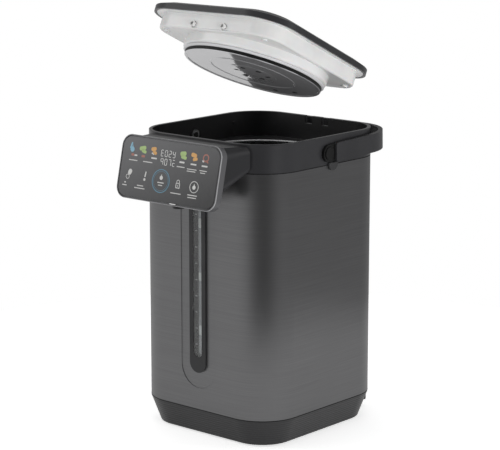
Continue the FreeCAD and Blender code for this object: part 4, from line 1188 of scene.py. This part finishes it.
# Studio
# A pale worktop, softboxes at the front left, at the back right, above and low on the right,
# a pale room that darkens behind the camera, and the camera where the photograph was taken.

worktop, shader = new_material("pale_worktop", Roughness=0.9, Base_Color=linear("ececec"))
rays = add_node(worktop, "LightPath")
gloss = add_node(worktop, "Math", {0: rays.outputs["Is Glossy Ray"], 1: 0.5}, operation="MULTIPLY")
seen = add_node(worktop, "Math", {0: rays.outputs["Is Camera Ray"], 1: gloss}, operation="MAXIMUM")
seen_too = add_node(worktop, "Math", {
    0: seen, 1: rays.outputs["Is Transmission Ray"]}, operation="MAXIMUM")
level = add_node(worktop, "Math", {0: seen_too, 1: 0.62}, operation="MULTIPLY")
glow = add_node(worktop, "Emission", {"Color": (1, 1, 1, 1), "Strength": level})
both = add_node(worktop, "AddShader", {0: shader, 1: glow})
connect(worktop.node_tree.nodes["Material Output"], {"Surface": both})
worktop_radius = 0.6
make_active(None)
bpy.ops.mesh.primitive_circle_add(vertices=96, radius=worktop_radius, fill_type="NGON")
floor = bpy.context.object
floor.name = "worktop"
floor.data.materials.append(worktop)

room = bpy.data.worlds.new("studio_room")
bpy.context.scene.world = room
room.use_nodes = True
way_seen = add_node(room, "TexCoord").outputs["Generated"]
toward = add_node(room, "VectorMath", {
    0: way_seen, 1: (0.656, -0.755, 0.0)}, operation="DOT_PRODUCT")
darkening = add_node(room, "ValToRGB", {0: toward.outputs["Value"]})
darkening.color_ramp.elements[0].position = 0.74
darkening.color_ramp.elements[0].color = (0.5, 0.5, 0.5, 1)
darkening.color_ramp.elements[1].position = 0.92
darkening.color_ramp.elements[1].color = (0.05, 0.05, 0.05, 1)
rays = add_node(room, "LightPath")
seen = add_node(room, "Math", {
    0: rays.outputs["Is Camera Ray"], 1: rays.outputs["Is Transmission Ray"]}, operation="MAXIMUM")
sideways = add_node(room, "VectorMath", {
    0: way_seen, 1: (-0.656, -0.755, 0.0)}, operation="DOT_PRODUCT")
level = add_node(room, "MapRange", {
    0: sideways.outputs["Value"], 1: -1.0, 2: 1.0, 3: 0.55, 4: 1.25})
height = add_node(room, "SeparateXYZ", {0: way_seen})
below = add_node(room, "MapRange", {0: height.outputs["Z"], 1: -0.35, 2: 0.05, 3: 1.7, 4: 0.9})
all_round = add_node(room, "Math", {0: level, 1: below}, operation="MULTIPLY")
mirrored = add_node(room, "Mix", {
    0: rays.outputs["Is Glossy Ray"], 6: (0.45, 0.45, 0.45, 1), 7: darkening}, data_type="RGBA")
lit = add_node(room, "Mix", {
    0: 1.0, 6: mirrored.outputs[2], 7: all_round}, data_type="RGBA", blend_type="MULTIPLY")
white = add_node(room, "Mix", {0: seen, 6: lit.outputs[2], 7: (1, 1, 1, 1)}, data_type="RGBA")
connect(room.node_tree.nodes["Background"], {"Color": white.outputs[2]})


def softbox(name, place, size, power, aim=0.22):
    """A square area light aimed at the pot's axis. Only a large one shows in mirrors."""
    make_active(None)
    bpy.ops.object.light_add(type="AREA", location=place)
    lamp = bpy.context.object
    lamp.name = name
    lamp.data.size = size
    lamp.data.energy = power
    lamp.visible_glossy = size > 0.9
    way = Vector((0, 0, aim)) - Vector(place)
    lamp.rotation_euler = way.to_track_quat("-Z", "Y").to_euler()


softbox("softbox_left", (-1.4, -1.5, 1.0), 1.2, 11)
softbox("softbox_right", (1.9, 1.2, 1.0), 1.0, 7)
softbox("softbox_top", (-0.2, 0.3, 2.1), 1.2, 6)
softbox("softbox_low", (1.5, -0.5, 0.2), 0.8, 15, 0.42)

make_active(None)
bpy.ops.object.camera_add(location=(1.42666, -1.65632, 0.67443),
                          rotation=(math.radians(78.296), 0, math.radians(41.034)))
camera = bpy.context.object
camera.data.lens = 144.53
camera.data.sensor_width = 36
bpy.context.scene.camera = camera
bpy.context.scene.view_settings.view_transform = "Standard"
